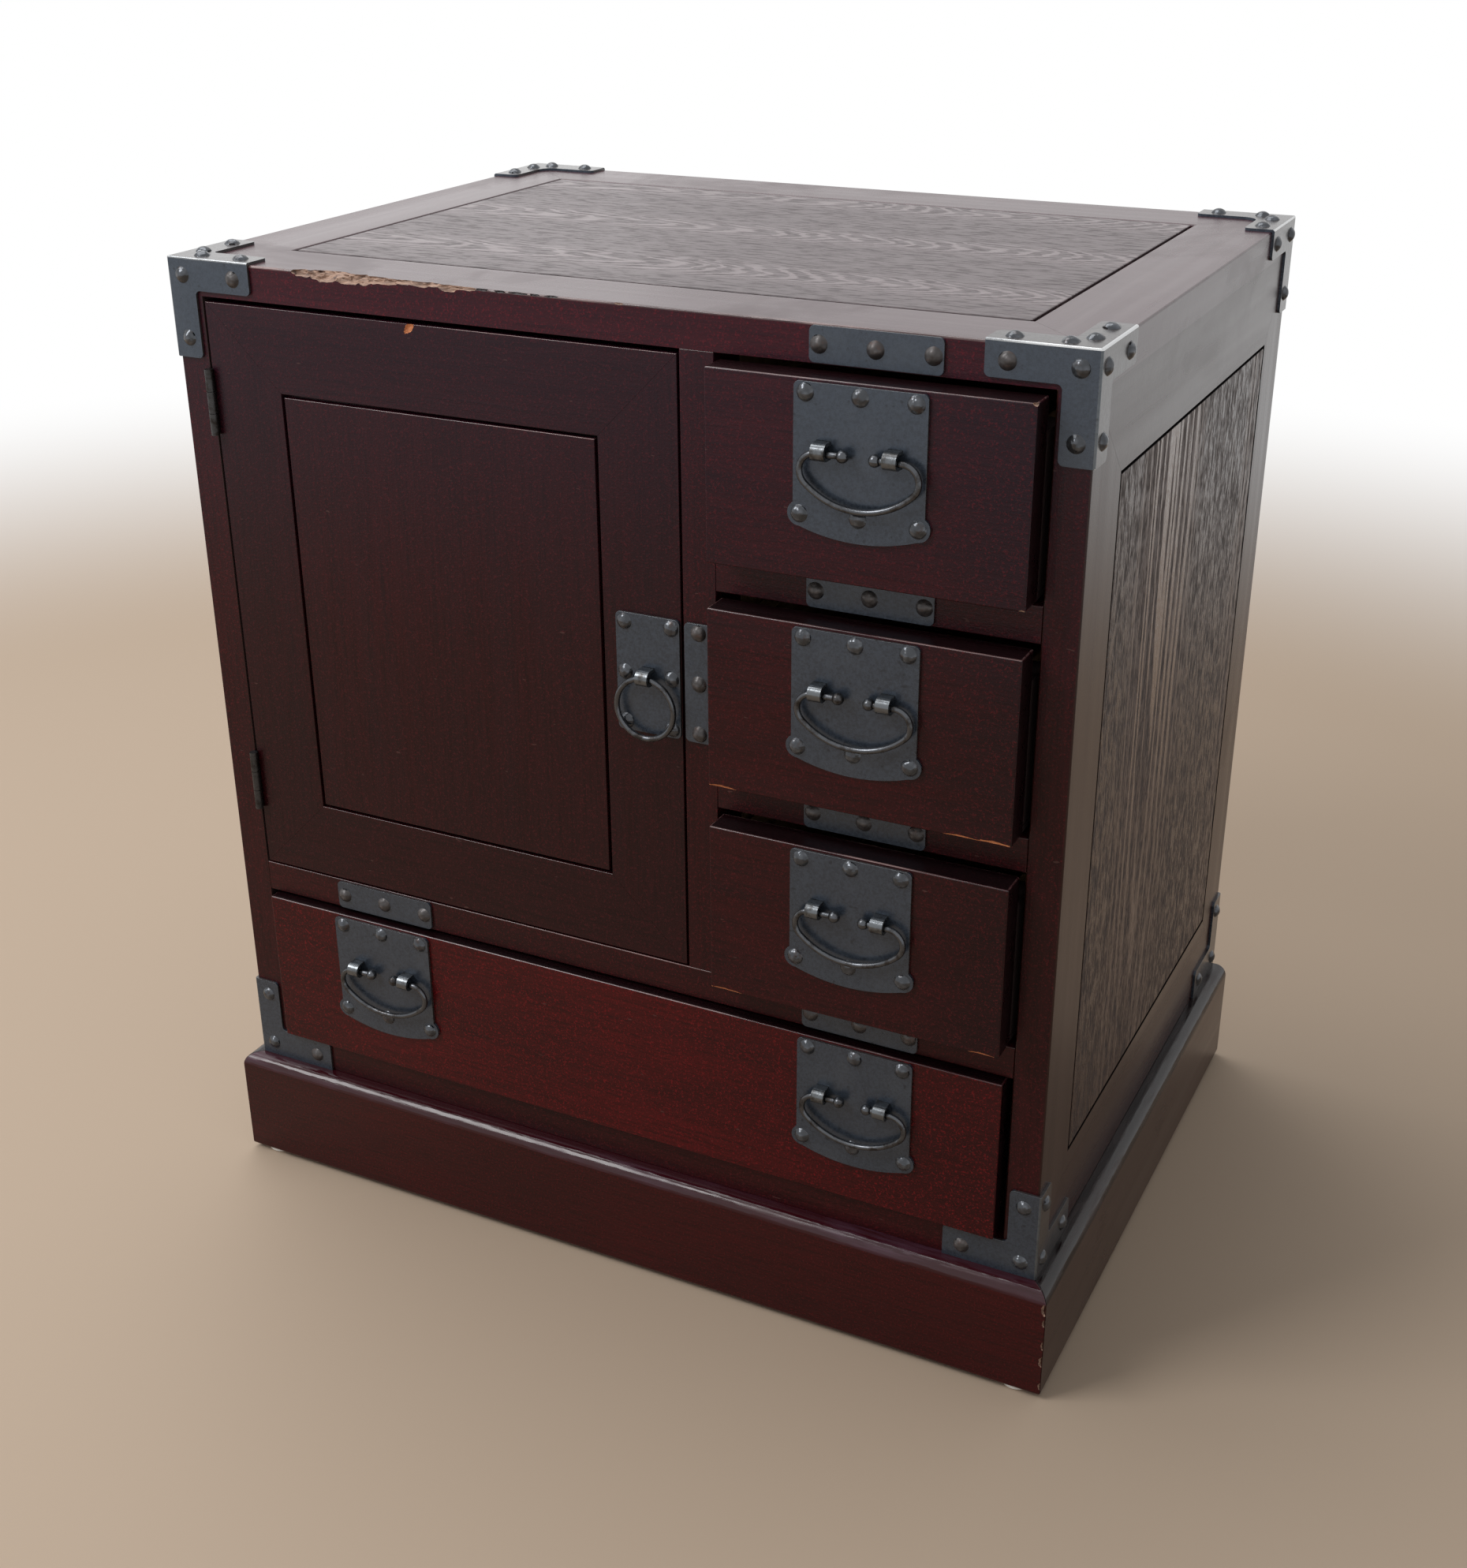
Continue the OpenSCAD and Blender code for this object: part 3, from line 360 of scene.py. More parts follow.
def chipped(name, pale, brown):
    """Torn wood under a chip, with dark lacquer and dirt left in the hollows."""
    f = Finish(name)
    torn = f.streaks("x", 700, 70, 4, 0.7, 0.3)
    left = f.noise(f.stretched((60, 260, 320)), 1.0, 3, 0.6)
    tone = f.mix(f.ramp(torn, (0.35, 0.0), (0.65, 1.0)), pale, brown)
    tone = f.mix(f.ramp(left, (0.56, 0.0), (0.66, 0.85)), tone, (0.045, 0.022, 0.018))
    f.set(color=tone, rough=0.7, normal=f.bump(torn, 0.0004, f.bump(left, 0.0003)))
    return f.material


# Painted shade on bare wood in the gaps behind the front, and the darker painted shade in the grooves
FRONT_GAP_SHADE, GROOVE_SHADE = (0.016, 0.005, 0.005), (0.0022, 0.0010, 0.0012)


def bare_wood(name, grain, pale, brown, shaded_front=None, shaded_sides=None, ior=1.5):
    """Unfinished light wood: inside boards, and what shows where the lacquer is chipped off. A painted shade
    darkens it from the front, or from both sides of the case, as far as the coordinate that is given."""
    f = Finish(name)
    rings = f.streaks(grain, 190, 13, 4, 0.6, 0.4)
    fibres = f.streaks(grain, 900, 60, 3, 0.7)
    tone = f.mix(f.ramp(rings, (0.35, 0.0), (0.65, 1.0)), pale, brown)
    tone = f.mix(f.ramp(fibres, (0.5, 0.0), (0.75, 0.4)), tone, shade(brown, 0.35))
    # Painted shade: bare wood near the front is darkened, as the gaps round the drawers and the door are in
    # shadow
    if shaded_front:
        lap = f.sum("ADD", f.along("Y"), f.sum("MULTIPLY", rings, 0.004))
        tone = f.mix(f.between(lap, shaded_front + 0.002, shaded_front), tone, FRONT_GAP_SHADE)
    # Painted shade: the groove walls near the outer faces are painted near black, as if in shadow
    if shaded_sides:
        lap = f.sum("ADD", f.sum("ABSOLUTE", f.along("X")), f.sum("MULTIPLY", rings, 0.0006))
        tone = f.mix(f.between(lap, shaded_sides, shaded_sides + 0.0006), tone, GROOVE_SHADE)
    f.set(color=tone, rough=0.75, ior=ior, normal=f.bump(fibres, 0.0002))
    return f.material


# Between these distances to the right of the middle, iron goes over to the tone of a brighter painted
# highlight
HIGHLIGHT_FROM, HIGHLIGHT_FULL = 0.215, 0.250


def iron(name, base, fleck, rough=(0.22, 0.34), metal=0.4, corner_highlight=None):
    """Blackened iron plate: dull blue-grey with a fine sandy mottle, a few faint pits and paler rubs. A
    corner
    highlight is a painted highlight: the tone that the iron goes over to at the chest's right edge."""
    f = Finish(name)
    mottle = f.noise(f.even, 620, 3, 0.7)
    cloud = f.noise(f.even, 42, 3, 0.55)
    pits = f.noise(f.even, 300, 1, 0.4)
    tone = f.mix(f.ramp(mottle, (0.32, 0.0), (0.7, 1.0)), shade(base, 0.78), shade(base, 1.22))
    tone = f.mix(f.ramp(cloud, (0.5, 0.0), (0.75, 0.5)), tone, fleck)
    tone = f.mix(f.ramp(pits, (0.71, 0.0), (0.75, 0.6)), tone, shade(base, 0.3))
    # Painted highlight: paler towards the chest's right edge
    if corner_highlight:
        tone = f.mix(f.between(f.along("X"), HIGHLIGHT_FROM, HIGHLIGHT_FULL), tone, corner_highlight)
    f.set(color=tone, metal=metal, rough=f.ramp(mottle, (0.3, rough[0]), (0.7, rough[1])), ior=1.6)
    f.set(normal=f.bump(mottle, 0.00002, f.bump(pits, 0.00006, f.bump(cloud, 0.0002))))
    return f.material


def hammered(name, base, brown, rough=(0.15, 0.24), metal=0.55):
    """Nail heads: dark and smooth-worn, knocked about in a few facets, with brown in the hollows."""
    f = Finish(name)
    facets = f.node("ShaderNodeTexVoronoi", feature="SMOOTH_F1")
    f.tree.links.new(f.even, facets.inputs["Vector"])
    facets.inputs["Scale"].default_value = 290
    facets.inputs["Smoothness"].default_value = 0.4
    patches = f.noise(f.even, 200, 3, 0.6)
    hollow = facets.outputs["Distance"]
    tone = f.mix(f.ramp(hollow, (0.15, 0.0), (0.6, 1.0)), shade(base, 1.2), shade(base, 0.65))
    tone = f.mix(f.ramp(patches, (0.56, 0.0), (0.70, 0.7)), tone, brown)
    f.set(color=tone, metal=metal, rough=f.ramp(patches, (0.35, rough[0]), (0.65, rough[1])))
    f.set(normal=f.bump(hollow, -0.0005, f.bump(patches, 0.0002)))
    return f.material


def worn_steel(name, bright, dark, rough=(0.26, 0.42), patch=(0.46, 0.62)):
    """Handled steel: bright where it is rubbed, brown-black in patches."""
    f = Finish(name)
    patches = f.noise(f.even, 150, 4, 0.6)
    scuffs = f.noise(f.even, 1300, 3, 0.6)
    tone = f.mix(f.ramp(patches, (patch[0], 0.0), (patch[1], 1.0)), bright, dark)
    f.set(color=tone, metal=0.9, rough=f.ramp(patches, (0.4, rough[0]), (0.65, rough[1])))
    f.set(normal=f.bump(scuffs, 0.00002, f.bump(patches, 0.00012)))
    return f.material


def nylon(name):
    """Moulded white nylon with a little dirt in its fine pits."""
    f = Finish(name)
    grit = f.noise(f.even, 600, 3, 0.6)
    tone = f.mix(f.ramp(grit, (0.4, 0.0), (0.8, 1.0)), (0.78, 0.78, 0.76), (0.58, 0.57, 0.53))
    f.set(color=tone, rough=0.55)
    f.set(normal=f.bump(grit, 0.0001))
    return f.material


# The lacquers: the common tone and its redder bloom, the painted cool reflection on the upper boards, and the
# door's tone
DARK, RED = (0.0250, 0.0028, 0.0042), (0.0360, 0.0029, 0.0042)
PAINTED_COOL_SHEEN = (0.0025, 0.0022, 0.0070)
DOOR = (0.0200, 0.0030, 0.0042)
level_lacquer = lacquer("lacquer, level grain", "x", DARK, RED, window_sheen=PAINTED_COOL_SHEEN)
upright_lacquer = lacquer("lacquer, upright grain", "z", DARK, RED, window_sheen=PAINTED_COOL_SHEEN)
door_lacquer = lacquer("lacquer on the door, level grain", "x", DOOR, DARK, window_sheen=PAINTED_COOL_SHEEN)
door_upright_lacquer = lacquer("lacquer on the door, upright grain", "z", DOOR, DARK, window_sheen=PAINTED_COOL_SHEEN)
door_grain = lacquer("lacquer on the door panel", "z", (0.0215, 0.0030, 0.0042), (0.0285, 0.0031, 0.0044),
                     window_sheen=PAINTED_COOL_SHEEN)
drawer_lacquer = lacquer("lacquer on the short drawers", "x", (0.0170, 0.0027, 0.0040),
                         (0.0340, 0.0029, 0.0042), bloom=(0.12, 0.44), middle=("X", 0.070, 0.215, 0.035),
                         window_sheen=PAINTED_COOL_SHEEN)
long_lacquer = lacquer("lacquer on the long drawer", "x", (0.0370, 0.0026, 0.0038), (0.0740, 0.0027, 0.0042),
                       bloom=(0.30, 0.56), middle=("X", -0.17, 0.13, 0.13))
plinth_lacquer = lacquer("lacquer on the plinth", "x", (0.0310, 0.0027, 0.0036), (0.0460, 0.0028, 0.0038),
                         rough=(0.20, 0.34), ior=1.33)
# Painted reflection and wear: the purple tint and pale streaks stand for the bluish highlight along the
# rounded edge, broken by scuffs
plinth_round_sheen = rubbed("lacquer on the plinth's rounded edge", "x", (0.0340, 0.0040, 0.0070),
                      (0.0560, 0.0200, 0.0330), (0.08, 0.36), 1.42)
plinth_side_round = rubbed("lacquer on the rounded edge, front to back", "y", (0.0120, 0.0075, 0.0080),
                           (0.0240, 0.0150, 0.0150), (0.16, 0.45), 1.4)
rail_lacquer = lacquer("lacquer on the top rail's face", "x", (0.0390, 0.0030, 0.0050),
                       (0.0520, 0.0031, 0.0052), window_sheen=PAINTED_COOL_SHEEN)
# Painted highlight and wear: the pale streaks stand for light caught on the upper edges as well as rubbed
# lacquer
edge_rub_and_highlight = rubbed("lacquer on the arrises, rubbed and with a painted highlight", "x", (0.0400, 0.0110, 0.0130), (0.200, 0.120, 0.115))
# Painted shade and stain: near black on the drawer fronts' top, bottom and ends, which sit in shadow in their
# gaps; also dark mitre joints and scuffs
edge_stain_and_shade = lacquer("dark stain and painted shade round the edges of a board", "x", (0.0065, 0.0022, 0.0030),
                     (0.0090, 0.0022, 0.0030))

WAXED_TOP, WAXED_SIDE = (0.046, 0.014, 0.020), (0.026, 0.0070, 0.0055)
top_lacquer = waxed_lacquer("waxed lacquer on the top, level", "x", WAXED_TOP)
top_depth_lacquer = waxed_lacquer("waxed lacquer on the top, front to back", "y", WAXED_TOP)
side_lacquer = waxed_lacquer("waxed lacquer on the sides, upright", "z", WAXED_SIDE, (0.20, 0.30), 0.3, 1.38)
side_depth_lacquer = waxed_lacquer("waxed lacquer on the sides, front to back", "y", WAXED_SIDE, (0.20, 0.30),
                                   0.3, 1.38)
top_grain = flat_sawn_top("top panel grain", (0.042, 0.020, 0.024), (0.140, 0.100, 0.106))
side_grain = flat_sawn_side("side panel grain", (0.026, 0.0085, 0.0058), (0.215, 0.150, 0.120))

# Bare wood: its two tones in level and in upright boards, and where the painted shade ends: how far back
# behind the front, and how far from the middle in the grooves
LEVEL_WOOD, UPRIGHT_WOOD = ((0.52, 0.36, 0.21), (0.36, 0.22, 0.11)), ((0.50, 0.34, 0.20), (0.34, 0.21, 0.11))
FRONT_GAP_SHADE_END, GROOVE_SHADE_END = -0.158, 0.2625
inner_wood = bare_wood("bare inner wood", "x", *LEVEL_WOOD)
inner_wood_deep = bare_wood("bare inner wood, front to back", "y", *LEVEL_WOOD)
inner_wood_up = bare_wood("bare inner wood, upright", "z", *UPRIGHT_WOOD)
case_wood = bare_wood("bare wood inside the case, painted shade near the front", "z", *UPRIGHT_WOOD,
                      FRONT_GAP_SHADE_END)
groove_wood = bare_wood("groove wall in painted shade, bare inside the case", "z", *UPRIGHT_WOOD,
                        shaded_sides=GROOVE_SHADE_END, ior=1.12)
tray_wood = bare_wood("bare drawer wood, painted shade behind the front", "y", *LEVEL_WOOD, FRONT_GAP_SHADE_END)
chip_wood = chipped("wood under a chip", (0.42, 0.265, 0.19), (0.150, 0.092, 0.070))
fresh_chip = bare_wood("wood under a fresh chip", "x", (0.62, 0.24, 0.10), (0.40, 0.13, 0.05))

plate_iron = iron("blackened iron plate", (0.043, 0.056, 0.077), (0.066, 0.081, 0.103))
rim_iron = iron("rubbed plate edge", (0.11, 0.125, 0.14), (0.17, 0.18, 0.19), (0.3, 0.45), 0.7)
wiped_iron = iron("iron plate wiped smooth", (0.046, 0.040, 0.041), (0.060, 0.053, 0.053), (0.14, 0.26), 0.2)
# Painted highlight: the level folds are painted pale, paler still at the right corner, where they catch the
# light
fold_highlight_iron = iron("bracket fold, painted highlight", (0.24, 0.25, 0.26), (0.36, 0.36, 0.36), (0.18, 0.30), 0.8,
                 (0.60, 0.61, 0.62))
nail_iron = hammered("nail heads", (0.085, 0.092, 0.104), (0.050, 0.032, 0.026))
brown_nail = hammered("nail heads on the rails, browned", (0.075, 0.068, 0.068), (0.075, 0.042, 0.034),
                      (0.34, 0.46), 0.3)
staple_steel = worn_steel("staple steel", (0.135, 0.145, 0.155), (0.05, 0.048, 0.047), (0.2, 0.32),
                          (0.5, 0.68))
pull_steel = worn_steel("worn bail steel", (0.090, 0.095, 0.104), (0.034, 0.030, 0.028), (0.18, 0.32),
                        (0.5, 0.66))
hinge_steel = worn_steel("darkened hinge steel", (0.060, 0.060, 0.062), (0.026, 0.022, 0.020), (0.35, 0.5))
foot_nylon = nylon("glide nylon")
catch_nylon = nylon("catch nylon")


# ---------------------------------------------------------------- shaping

# How much of a face's normal points one way: about all, squarely all, and next to none
FACING, SQUARE, EDGE_ON = 0.9, 0.98, 0.1
# Corners of the CAD mesh closer than this are one, and faces within this angle are one flat face
WELD, FLAT = 0.000005, math.radians(0.5)


def deselect():
    bpy.ops.object.select_all(action="DESELECT")


def take(piece):
    """Makes a piece the only selected one, and the active one."""
    deselect()
    piece.select_set(True)
    bpy.context.view_layer.objects.active = piece


def finish_with(piece, *materials):
    piece.data.materials.clear()
    for material in materials:
        piece.data.materials.append(material)


def paint(piece, material, picks, over=()):
    """Gives a finish to the faces that picks() accepts; where over names finishes, it covers only those."""
    slots = piece.data.materials
    covered = [slots.find(one.name) for one in over]
    for face in piece.data.polygons:
        if (not over or face.material_index in covered) and picks(face):
            face.material_index = slots.find(material.name)


def square_on(normal):
    return max(abs(v) for v in normal) > SQUARE


def arris(edge):
    """An edge between two faces that are square to the case, so mitre lines stay tight."""
    return all(square_on(face.normal) for face in edge.link_faces)


def middle(edge):
    return (edge.verts[0].co + edge.verts[1].co) / 2


def faces_front(face):
    return face.normal.y < -FACING


def faces_down(face):
    return face.normal.z < -FACING


def faces_inward(face):
    """True for the face of a side's board that looks into the case."""
    return face.normal.x * face.center.x < -FACING * abs(face.center.x)


def worked_copy(node, name, *materials):
    """The CAD shape of a node as one closed mesh, ready to be worked on, and all in the first finish."""
    take(nodes[node])
    bpy.ops.object.duplicate()
    piece = bpy.context.active_object
    piece.name = name
    piece.data.name = name
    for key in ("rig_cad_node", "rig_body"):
        if key in piece:
            del piece[key]
    piece.parent = None
    piece.matrix_world = Matrix.Identity(4)
    bpy.ops.object.mode_set(mode="EDIT")
    bpy.ops.mesh.select_all(action="SELECT")
    bpy.ops.mesh.remove_doubles(threshold=WELD)
    bpy.ops.mesh.dissolve_limited(angle_limit=FLAT)
    bpy.ops.mesh.select_all(action="DESELECT")
    bpy.ops.object.mode_set(mode="OBJECT")
    bpy.ops.object.shade_flat()
    finish_with(piece, *materials)
    for face in piece.data.polygons:
        face.material_index = 0
    return piece


def ease(piece, width, keep=None, steps=2, finish=None, least=60, clamp=True):
    """Eases the arrises: a narrow rounded bevel on each edge that turns by more than the least angle and that
    keep() accepts. The bevel has the piece's first finish, or one of its others."""
    take(piece)
    bpy.ops.object.mode_set(mode="EDIT")
    bpy.ops.mesh.select_mode(type="EDGE")
    mesh = bmesh.from_edit_mesh(piece.data)
    for edge in mesh.edges:
        faces = edge.link_faces
        sharp = len(faces) == 2 and faces[0].normal.angle(faces[1].normal, 0) > math.radians(least)
        if sharp and edge.is_convex and (keep is None or keep(edge)):
            edge.select = True
    mesh.select_flush_mode()
    bmesh.update_edit_mesh(piece.data)
    slot = piece.data.materials.find(finish.name) if finish else 0
    bpy.ops.mesh.bevel(offset=width, segments=steps, profile=0.5, affect="EDGES", clamp_overlap=clamp,
                       material=slot)
    bpy.ops.mesh.select_all(action="DESELECT")
    bpy.ops.object.mode_set(mode="OBJECT")
    bpy.ops.object.shade_smooth_by_angle(angle=math.radians(40))


def highlight_only_above(piece, plain, rise=0.3):
    """Only the upper arrises keep the pale painted highlight, where light falls on them; the others keep the
    board's own lacquer.
    """
    paint(piece, plain, lambda face: face.normal.z < rise, over=[edge_rub_and_highlight])


def polish(piece):
    """Keeps the broad faces evenly shaded next to their rounded arrises."""
    take(piece)
    even = piece.modifiers.new("even shading", "WEIGHTED_NORMAL")
    even.keep_sharp = True
    even.weight = 90
    bpy.ops.object.modifier_apply(modifier="even shading")


def stand_in(piece, node):
    """The finished piece takes the place of its CAD node."""
    polish(piece)
    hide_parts(node)
    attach(piece, body_of_node[node])


def loose_parts(mesh):
    """The faces of each separate solid in a mesh."""
    seen = set()
    for face in mesh.faces:
        if face.index in seen:
            continue
        part, todo = [], [face]
        seen.add(face.index)
        while todo:
            one = todo.pop()
            part.append(one)
            for edge in one.edges:
                for other in edge.link_faces:
                    if other.index not in seen:
                        seen.add(other.index)
                        todo.append(other)
        yield part


def part_box(part):
    """The lowest and the highest corner of some faces."""
    points = [v.co for face in part for v in face.verts]
    return [Vector([pick(p[k] for p in points) for k in range(3)]) for pick in (min, max)]


def by_member(piece, axis, long_way, across, joint):
    """Gives each mitred board of a frame the finish whose grain runs along it: long_way where the board is
    longest along the axis, else across. The mitres' joint faces have a finish of their own."""
    slots = piece.data.materials
    long_way, across, joint = (slots.find(one.name) for one in (long_way, across, joint))
    mesh = bmesh.new()
    mesh.from_mesh(piece.data)
    for board in loose_parts(mesh):
        low, high = part_box(board)
        spans = list(high - low)
        for one in board:
            if one.material_index in (long_way, across):
                one.material_index = long_way if spans.index(max(spans)) == "xyz".index(axis) else across
                if not square_on(one.normal):
                    one.material_index = joint
    mesh.to_mesh(piece.data)
    mesh.free()


def rough_lump(centre, size, seed, turn=0.0):
    """A ragged wedge that chips are cut out with."""
    bpy.ops.mesh.primitive_ico_sphere_add(subdivisions=3, radius=1.0, location=(0, 0, 0))
    lump = bpy.context.active_object
    dice = random.Random(seed)
    for v in lump.data.vertices:
        swell = 1 + dice.uniform(-0.16, 0.16)
        v.co = Vector((v.co.x * size[0] * swell, v.co.y * size[1] * swell, v.co.z * size[2] * swell))
    lump.data.transform(Matrix.Translation(centre) @ Matrix.Rotation(turn, 4, "Y"))
    return lump


def chip(piece, lumps, material):
    """Cuts the lumps out of a piece; the hollows have the lumps' finish."""
    deselect()
    for lump in lumps:
        finish_with(lump, material)
        lump.select_set(True)
    bpy.context.view_layer.objects.active = lumps[0]
    if len(lumps) > 1:
        bpy.ops.object.join()
    cutter = bpy.context.active_object
    take(piece)
    cut = piece.modifiers.new("chips", "BOOLEAN")
    cut.operation = "DIFFERENCE"
    cut.solver = "EXACT"
    cut.use_self = True
    cut.material_mode = "TRANSFER"
    cut.object = cutter
    bpy.ops.object.modifier_apply(modifier="chips")
    bpy.data.objects.remove(cutter)


# ---------------------------------------------------------------- the case

# Where the top's front edge is chipped and then only scuffed, from the left corner to the right
CHIPPED_FROM, CHIPPED_TO, SCUFFED_TO = -0.181, -0.066, -0.018


def wear_front_edge(top):
    """Chips that get shallower from the left corner, one small chip right of the middle, and then scuffs."""
    dice = random.Random(4)
    edge_y = FRONT - 0.0004
    x = CHIPPED_FROM
    chips = []
    while x < CHIPPED_TO:
        share = (x - CHIPPED_FROM) / (CHIPPED_TO - CHIPPED_FROM)
        reach = 0.0078 - 0.0055 * share
        drop = 0.0056 - 0.0036 * share
        spot = (x, edge_y + dice.uniform(-0.0006, 0.0006), TOP - 0.0002 + dice.uniform(-0.0004, 0.0004))
        size = (dice.uniform(0.006, 0.012), reach * dice.uniform(0.6, 1.15), drop * dice.uniform(0.45, 1.1))
        chips.append(rough_lump(spot, size, int(abs(x) * 1e5), dice.uniform(-0.08, 0.08)))
        x += dice.uniform(0.005, 0.009)
    chips.append(rough_lump((0.0190, edge_y, TOP - 0.0001), (0.0034, 0.0012, 0.0012), 7, 0.1))
    chip(top, chips, chip_wood)
    scuffs = []
    while x < SCUFFED_TO:
        size = (dice.uniform(0.004, 0.008), 0.0016, 0.0011)
        scuffs.append(rough_lump((x, edge_y, TOP), size, int(abs(x) * 1e5), dice.uniform(-0.05, 0.05)))
        x += dice.uniform(0.009, 0.014)
    chip(top, scuffs, edge_stain_and_shade)


def on_top_arris(edge):
    return arris(edge) and middle(edge).z > TOP - HAIR


def behind_front_arris(face):
    return face.center.y > FRONT + 0.008


def make_top():
    top = worked_copy("top_frame", "top_frame_boards", top_lacquer, top_depth_lacquer, edge_rub_and_highlight, rail_lacquer,
                      edge_stain_and_shade, case_wood)
    paint(top, case_wood, faces_down)
    ease(top, 0.0012, on_top_arris, 3, edge_rub_and_highlight)
    by_member(top, "y", top_depth_lacquer, top_lacquer, edge_stain_and_shade)
    paint(top, rail_lacquer, faces_front, over=[top_lacquer, top_depth_lacquer])
    # Only the top's front arris keeps the painted highlight
    paint(top, top_lacquer, behind_front_arris, over=[edge_rub_and_highlight])
    wear_front_edge(top)
    stand_in(top, "top_frame")
    panel = worked_copy("top_panel", "top_panel_board", top_grain, case_wood)
    paint(panel, case_wood, faces_down)
    ease(panel, 0.0006, arris)
    stand_in(panel, "top_panel")


# A box just round the opening of a side frame: from front to back, and from bottom to top
OPENING_Y, OPENING_Z = (-0.139, 0.170), (0.131, 0.541)


def on_opening(edge):
    """True for the edges round a side frame's opening, which stay sharp."""
    (front, back), (bottom, top) = OPENING_Y, OPENING_Z
    return all(front < v.co.y < back and bottom < v.co.z < top for v in edge.verts)


def on_side_arris(edge):
    """True for a side frame's outer arrises, but not where the top lies on it."""
    return arris(edge) and not on_opening(edge) and middle(edge).z < UNDER_TOP - HAIR


def in_groove(face):
    """True for the walls of a side's opening and of the groove for its panel, and for the ends that the top
    and the plinth hide."""
    within = abs(face.center.x) < SIDE - HAIR and FRONT + 0.002 < face.center.y < BACK - 0.002
    return within and abs(face.normal.x) < EDGE_ON


def on_panel_edge(face):
    """True for a side panel's edge, with the steeper half of its eased arrises."""
    return abs(face.normal.x) < 0.6


def make_sides():
    for side in ("left", "right"):
        boards = worked_copy(f"{side}_side_frame", f"{side}_side_boards", side_depth_lacquer, side_lacquer,
                             edge_rub_and_highlight, upright_lacquer, groove_wood, case_wood)
        paint(boards, case_wood, faces_inward)
        ease(boards, 0.0009, on_side_arris, 2, edge_rub_and_highlight)
        by_member(boards, "z", side_lacquer, side_depth_lacquer, groove_wood)
        paint(boards, upright_lacquer, faces_front, over=[side_depth_lacquer, side_lacquer])
        paint(boards, groove_wood, in_groove)
        # The arrises don't get the pale painted highlight here; that finish only kept them apart from the
        # boards till now
        paint(boards, side_lacquer, lambda face: True, over=[edge_rub_and_highlight])
        stand_in(boards, f"{side}_side_frame")
        panel = worked_copy(f"{side}_side_panel", f"{side}_side_panel_board", side_grain, groove_wood,
                            case_wood)
        paint(panel, case_wood, faces_inward)
        ease(panel, 0.0006, arris)
        paint(panel, groove_wood, on_panel_edge)
        stand_in(panel, f"{side}_side_panel")


def make_front_rails():
    for node, material in (("mid_stile", upright_lacquer), ("short_drawer_rails", level_lacquer),
                           ("long_drawer_rail", level_lacquer), ("bottom_rail", level_lacquer)):
        rail = worked_copy(node, node + "_wood", material, edge_rub_and_highlight)
        ease(rail, 0.0005, arris, 2, edge_rub_and_highlight)
        highlight_only_above(rail, material)
        stand_in(rail, node)


# The chips down the plinth's front right corner: where, how large, and the seed of their ragged shape
CORNER_CHIPS = (
    ((0.2866, -0.2001, 0.0655), (0.0026, 0.0022, 0.0040), 11),
    ((0.2868, -0.2002, 0.0560), (0.0018, 0.0016, 0.0026), 14),
    ((0.2870, -0.2002, 0.0400), (0.0018, 0.0016, 0.0030), 12),
    ((0.2868, -0.2003, 0.0280), (0.0020, 0.0018, 0.0040), 13),
    ((0.2870, -0.2003, 0.0100), (0.0018, 0.0016, 0.0026), 15),
)


def on_plinth_round(face):
    """True for the rounded top edge of a plinth board, and for the flat behind it."""
    return face.normal.z > 0.12 and face.center.z > 0.05


def make_plinth():
    finishes = {"plinth_front": (plinth_lacquer, plinth_round_sheen), "plinth_back": (plinth_lacquer, plinth_round_sheen),
                "plinth_sides": (side_depth_lacquer, plinth_side_round)}
    for node, (flat, rounded) in finishes.items():
        board = worked_copy(node, node + "_board", flat, rounded)
        ease(board, 0.0006, least=30)
        paint(board, rounded, on_plinth_round)
        if node == "plinth_front":
            chip(board, [rough_lump(*one) for one in CORNER_CHIPS], chip_wood)
        stand_in(board, node)
    glides = worked_copy("floor_glides", "floor_glide_discs", foot_nylon)
    stand_in(glides, "floor_glides")


def make_inside():
    grains = {"bottom_board": inner_wood, "dust_board": inner_wood, "partition": inner_wood_up,
              "back_panel": inner_wood_up, "drawer_runners": inner_wood_deep, "drawer_stops": inner_wood_up}
    for node, material in grains.items():
        board = worked_copy(node, node + "_wood", material)
        ease(board, 0.0004, arris)
        stand_in(board, node)
    catch = worked_copy("door_catch", "door_catch_body", catch_nylon)
    ease(catch, 0.0012, arris, 3)
    stand_in(catch, "door_catch")


# ---------------------------------------------------------------- ironwork

# A bracket's flap is thicker than this, so what is further out than this is on its outer face
INTO_FLAP = 0.0012
# The nails' heads are wider than this, and the staples are narrower
NARROW = 0.0085
# A nail that is nearer to the middle than this isn't on an outer stile
BETWEEN_STILES = SIDE - 0.035


def on_fold(edge):
    """The outer edge of a bracket, where two of its flaps meet."""
    x, y, z = middle(edge)
    outside = (abs(x) > SIDE + INTO_FLAP, abs(y - MIDDLE_Y) > HALF_DEPTH + INTO_FLAP, z > TOP + INTO_FLAP)
    return arris(edge) and sum(outside) > 1


def on_side_or_top(face):
    """True for the flat of a plate that lies on the top or on a side of the case."""
    return (face.normal.z > FACING or abs(face.normal.x) > FACING) and square_on(face.normal)


